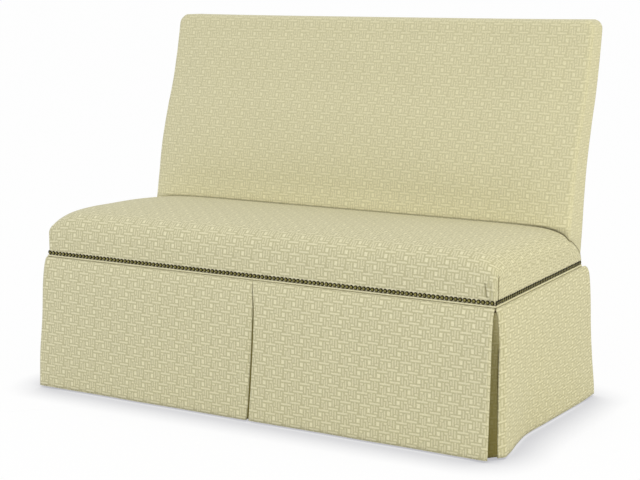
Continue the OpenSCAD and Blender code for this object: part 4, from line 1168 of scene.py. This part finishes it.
def make_nails():
    rng = np.random.default_rng(NAIL_SEED)
    front_n = math.floor((SEAT_W - 2 * NAIL_HEAD_D * 0.7) / NAIL_PITCH)
    side_n = math.floor((TUCK_END - 1.2 * NAIL_HEAD_D) / NAIL_PITCH)
    first = NAIL_HEAD_D * 0.65
    clipped = first - NAIL_SHANK_D / 2 - 2 * GAP
    rows = {"front_nails": [], "right_nails": [], "left_nails": []}
    for i in range(front_n + 1):
        grid, uv = nail_points(rng, clipped if i % front_n == 0 else NAIL_SHANK_L)
        slip = rng.normal(0, NAIL_SLIP, 2)
        at = [(i - front_n / 2) * NAIL_PITCH + slip[0], 0, RIM_Z + slip[1]]
        rows["front_nails"].append((grid[..., [0, 2, 1]] + at, uv))
    for i in range(side_n + 1):
        y = first + i * NAIL_PITCH
        for name, sign in (("right_nails", 1), ("left_nails", -1)):
            grid, uv = nail_points(rng, NAIL_SHANK_L)
            slip = rng.normal(0, NAIL_SLIP, 2)
            turned = grid[..., [2, 0, 1]] * [-sign, 1, 1]
            rows[name].append((turned + [sign * SEAT_HW, y + slip[0], RIM_Z + slip[1]], uv))
    for name, patches in rows.items():
        piece = build(name + "_row", patches, BRASS)
        worn_by_root(piece, "nail_brass", name)


CAMBRIC = plain_cloth("cambric", srgb(52, 50, 46), srgb(26, 25, 24), 0.8)
DUST_SAG = 6


def make_dust_cover():
    margin = LEG_W * 0.09
    half = FRAME_HW - margin
    near, far = FRAME_IN + margin, BASE_D - POST_IN - margin - DUST_SAG
    x, y = np.meshgrid(np.linspace(-half, half, 60), np.linspace(near, far, 30))
    sag = np.sin((x + half) / (2 * half) * math.pi) * np.sin((y - near) / (far - near) * math.pi)
    low = RIM_Z + RAIL_RISE - RAIL_H
    grid = np.stack([x, y, low - DUST_SAG * sag], axis=2)
    uv = np.stack([x, y], axis=2)
    cover = build("dust_cloth", [(grid, uv)], CAMBRIC, closed=False)
    solid_cloth(cover, DUST_T)
    worn_by_root(cover, "cambric", "dust_cover")


dress_frame()
make_seat()
make_back()
make_outside_back()
make_skirts()
make_pleats()
make_welts()
make_nails()
make_dust_cover()


# Camera, floor and light, in metres

LENS = 82.74
CAMERA_PLACE = (1.872, -3.318, 1.080)
CAMERA_DOWN = 0.176
CAMERA_TURN = 0.513
FLOOR_HALF = 300
# Shade on the floor: how far to look around, in metres, then a gain and an offset
FLOOR_SHADES = [(0.11, 1.5, -0.5), (0.4, 2.2, -0.35), (1.2, 2.0, 0.0)]
FLOOR_GLOW = 0.95
WORLD_LIGHT = 0.9


def make_camera():
    data = bpy.data.cameras.new("camera")
    data.lens = LENS
    data.sensor_width = 36
    camera = in_scene("camera", data)
    camera.location = CAMERA_PLACE
    camera.rotation_euler = (math.pi / 2 - CAMERA_DOWN, 0, CAMERA_TURN)
    bpy.context.scene.camera = camera


def shown_rays(tree):
    """1 on rays that show the camera a thing, 0 on those that only light."""
    path = node(tree, "ShaderNodeLightPath")
    return maths(tree, "MAXIMUM", path.outputs["Is Camera Ray"],
                 maths(tree, "MAXIMUM", path.outputs["Is Glossy Ray"],
                       path.outputs["Is Transmission Ray"]))


def make_floor():
    mesh = bpy.data.meshes.new("floor")
    half = FLOOR_HALF
    mesh.from_pydata([(-half, -half, 0), (half, -half, 0), (half, half, 0), (-half, half, 0)],
                     [], [(0, 1, 2, 3)])
    floor = in_scene("floor", mesh)
    material = bpy.data.materials.new("studio_floor")
    tree, out = emptied(material, "ShaderNodeOutputMaterial")
    diffuse = node(tree, "ShaderNodeBsdfDiffuse", {"Color": (0.85, 0.85, 0.86, 1)})
    open_share = 1.0
    for reach, gain, offset in FLOOR_SHADES:
        near = node(tree, "ShaderNodeAmbientOcclusion", {"Distance": reach}, samples=12)
        open_share = maths(tree, "MINIMUM", open_share,
                           scaled(tree, near.outputs["AO"], gain, offset, clamp=True))
    tint = blend_colour(tree, open_share, (0.5, 0.5, 0.53, 1), (1, 1, 1, 1))
    glow = node(tree, "ShaderNodeEmission", {"Color": tint, "Strength": 1.0})
    share = maths(tree, "MULTIPLY", shown_rays(tree), FLOOR_GLOW)
    mixed = node(tree, "ShaderNodeMixShader", {0: share, 1: diffuse.outputs[0],
                                               2: glow.outputs[0]})
    tree.links.new(mixed.outputs[0], out.inputs[0])
    mesh.materials.append(material)


def make_world():
    world = bpy.data.worlds.new("studio")
    bpy.context.scene.world = world
    tree, out = emptied(world, "ShaderNodeOutputWorld")
    strength = scaled(tree, shown_rays(tree), 1 - WORLD_LIGHT, WORLD_LIGHT)
    back = node(tree, "ShaderNodeBackground", {"Color": (1, 1, 1, 1), "Strength": strength})
    tree.links.new(back.outputs[0], out.inputs[0])


def lamp(name, place, target, size, power, colour):
    data = bpy.data.lights.new(name, "AREA")
    data.shape = "SQUARE"
    data.size = size
    data.energy = power
    data.color = colour
    light = in_scene(name, data)
    light.location = place
    aim = np.array(target, float) - np.array(place, float)
    flat = math.hypot(aim[0], aim[1])
    light.rotation_euler = (math.atan2(flat, -aim[2]), 0, math.atan2(-aim[0], aim[1]))


make_camera()
make_floor()
make_world()
lamp("key", (4.5, -0.9, 2.6), (0, 0, 0.4), 2.2, 60, (1, 0.93, 0.55))
lamp("fill", (-1.2, -4.0, 3.0), (0, 0, 0.5), 2.4, 33, (1, 1, 1))
bpy.context.scene.view_settings.view_transform = "Standard"
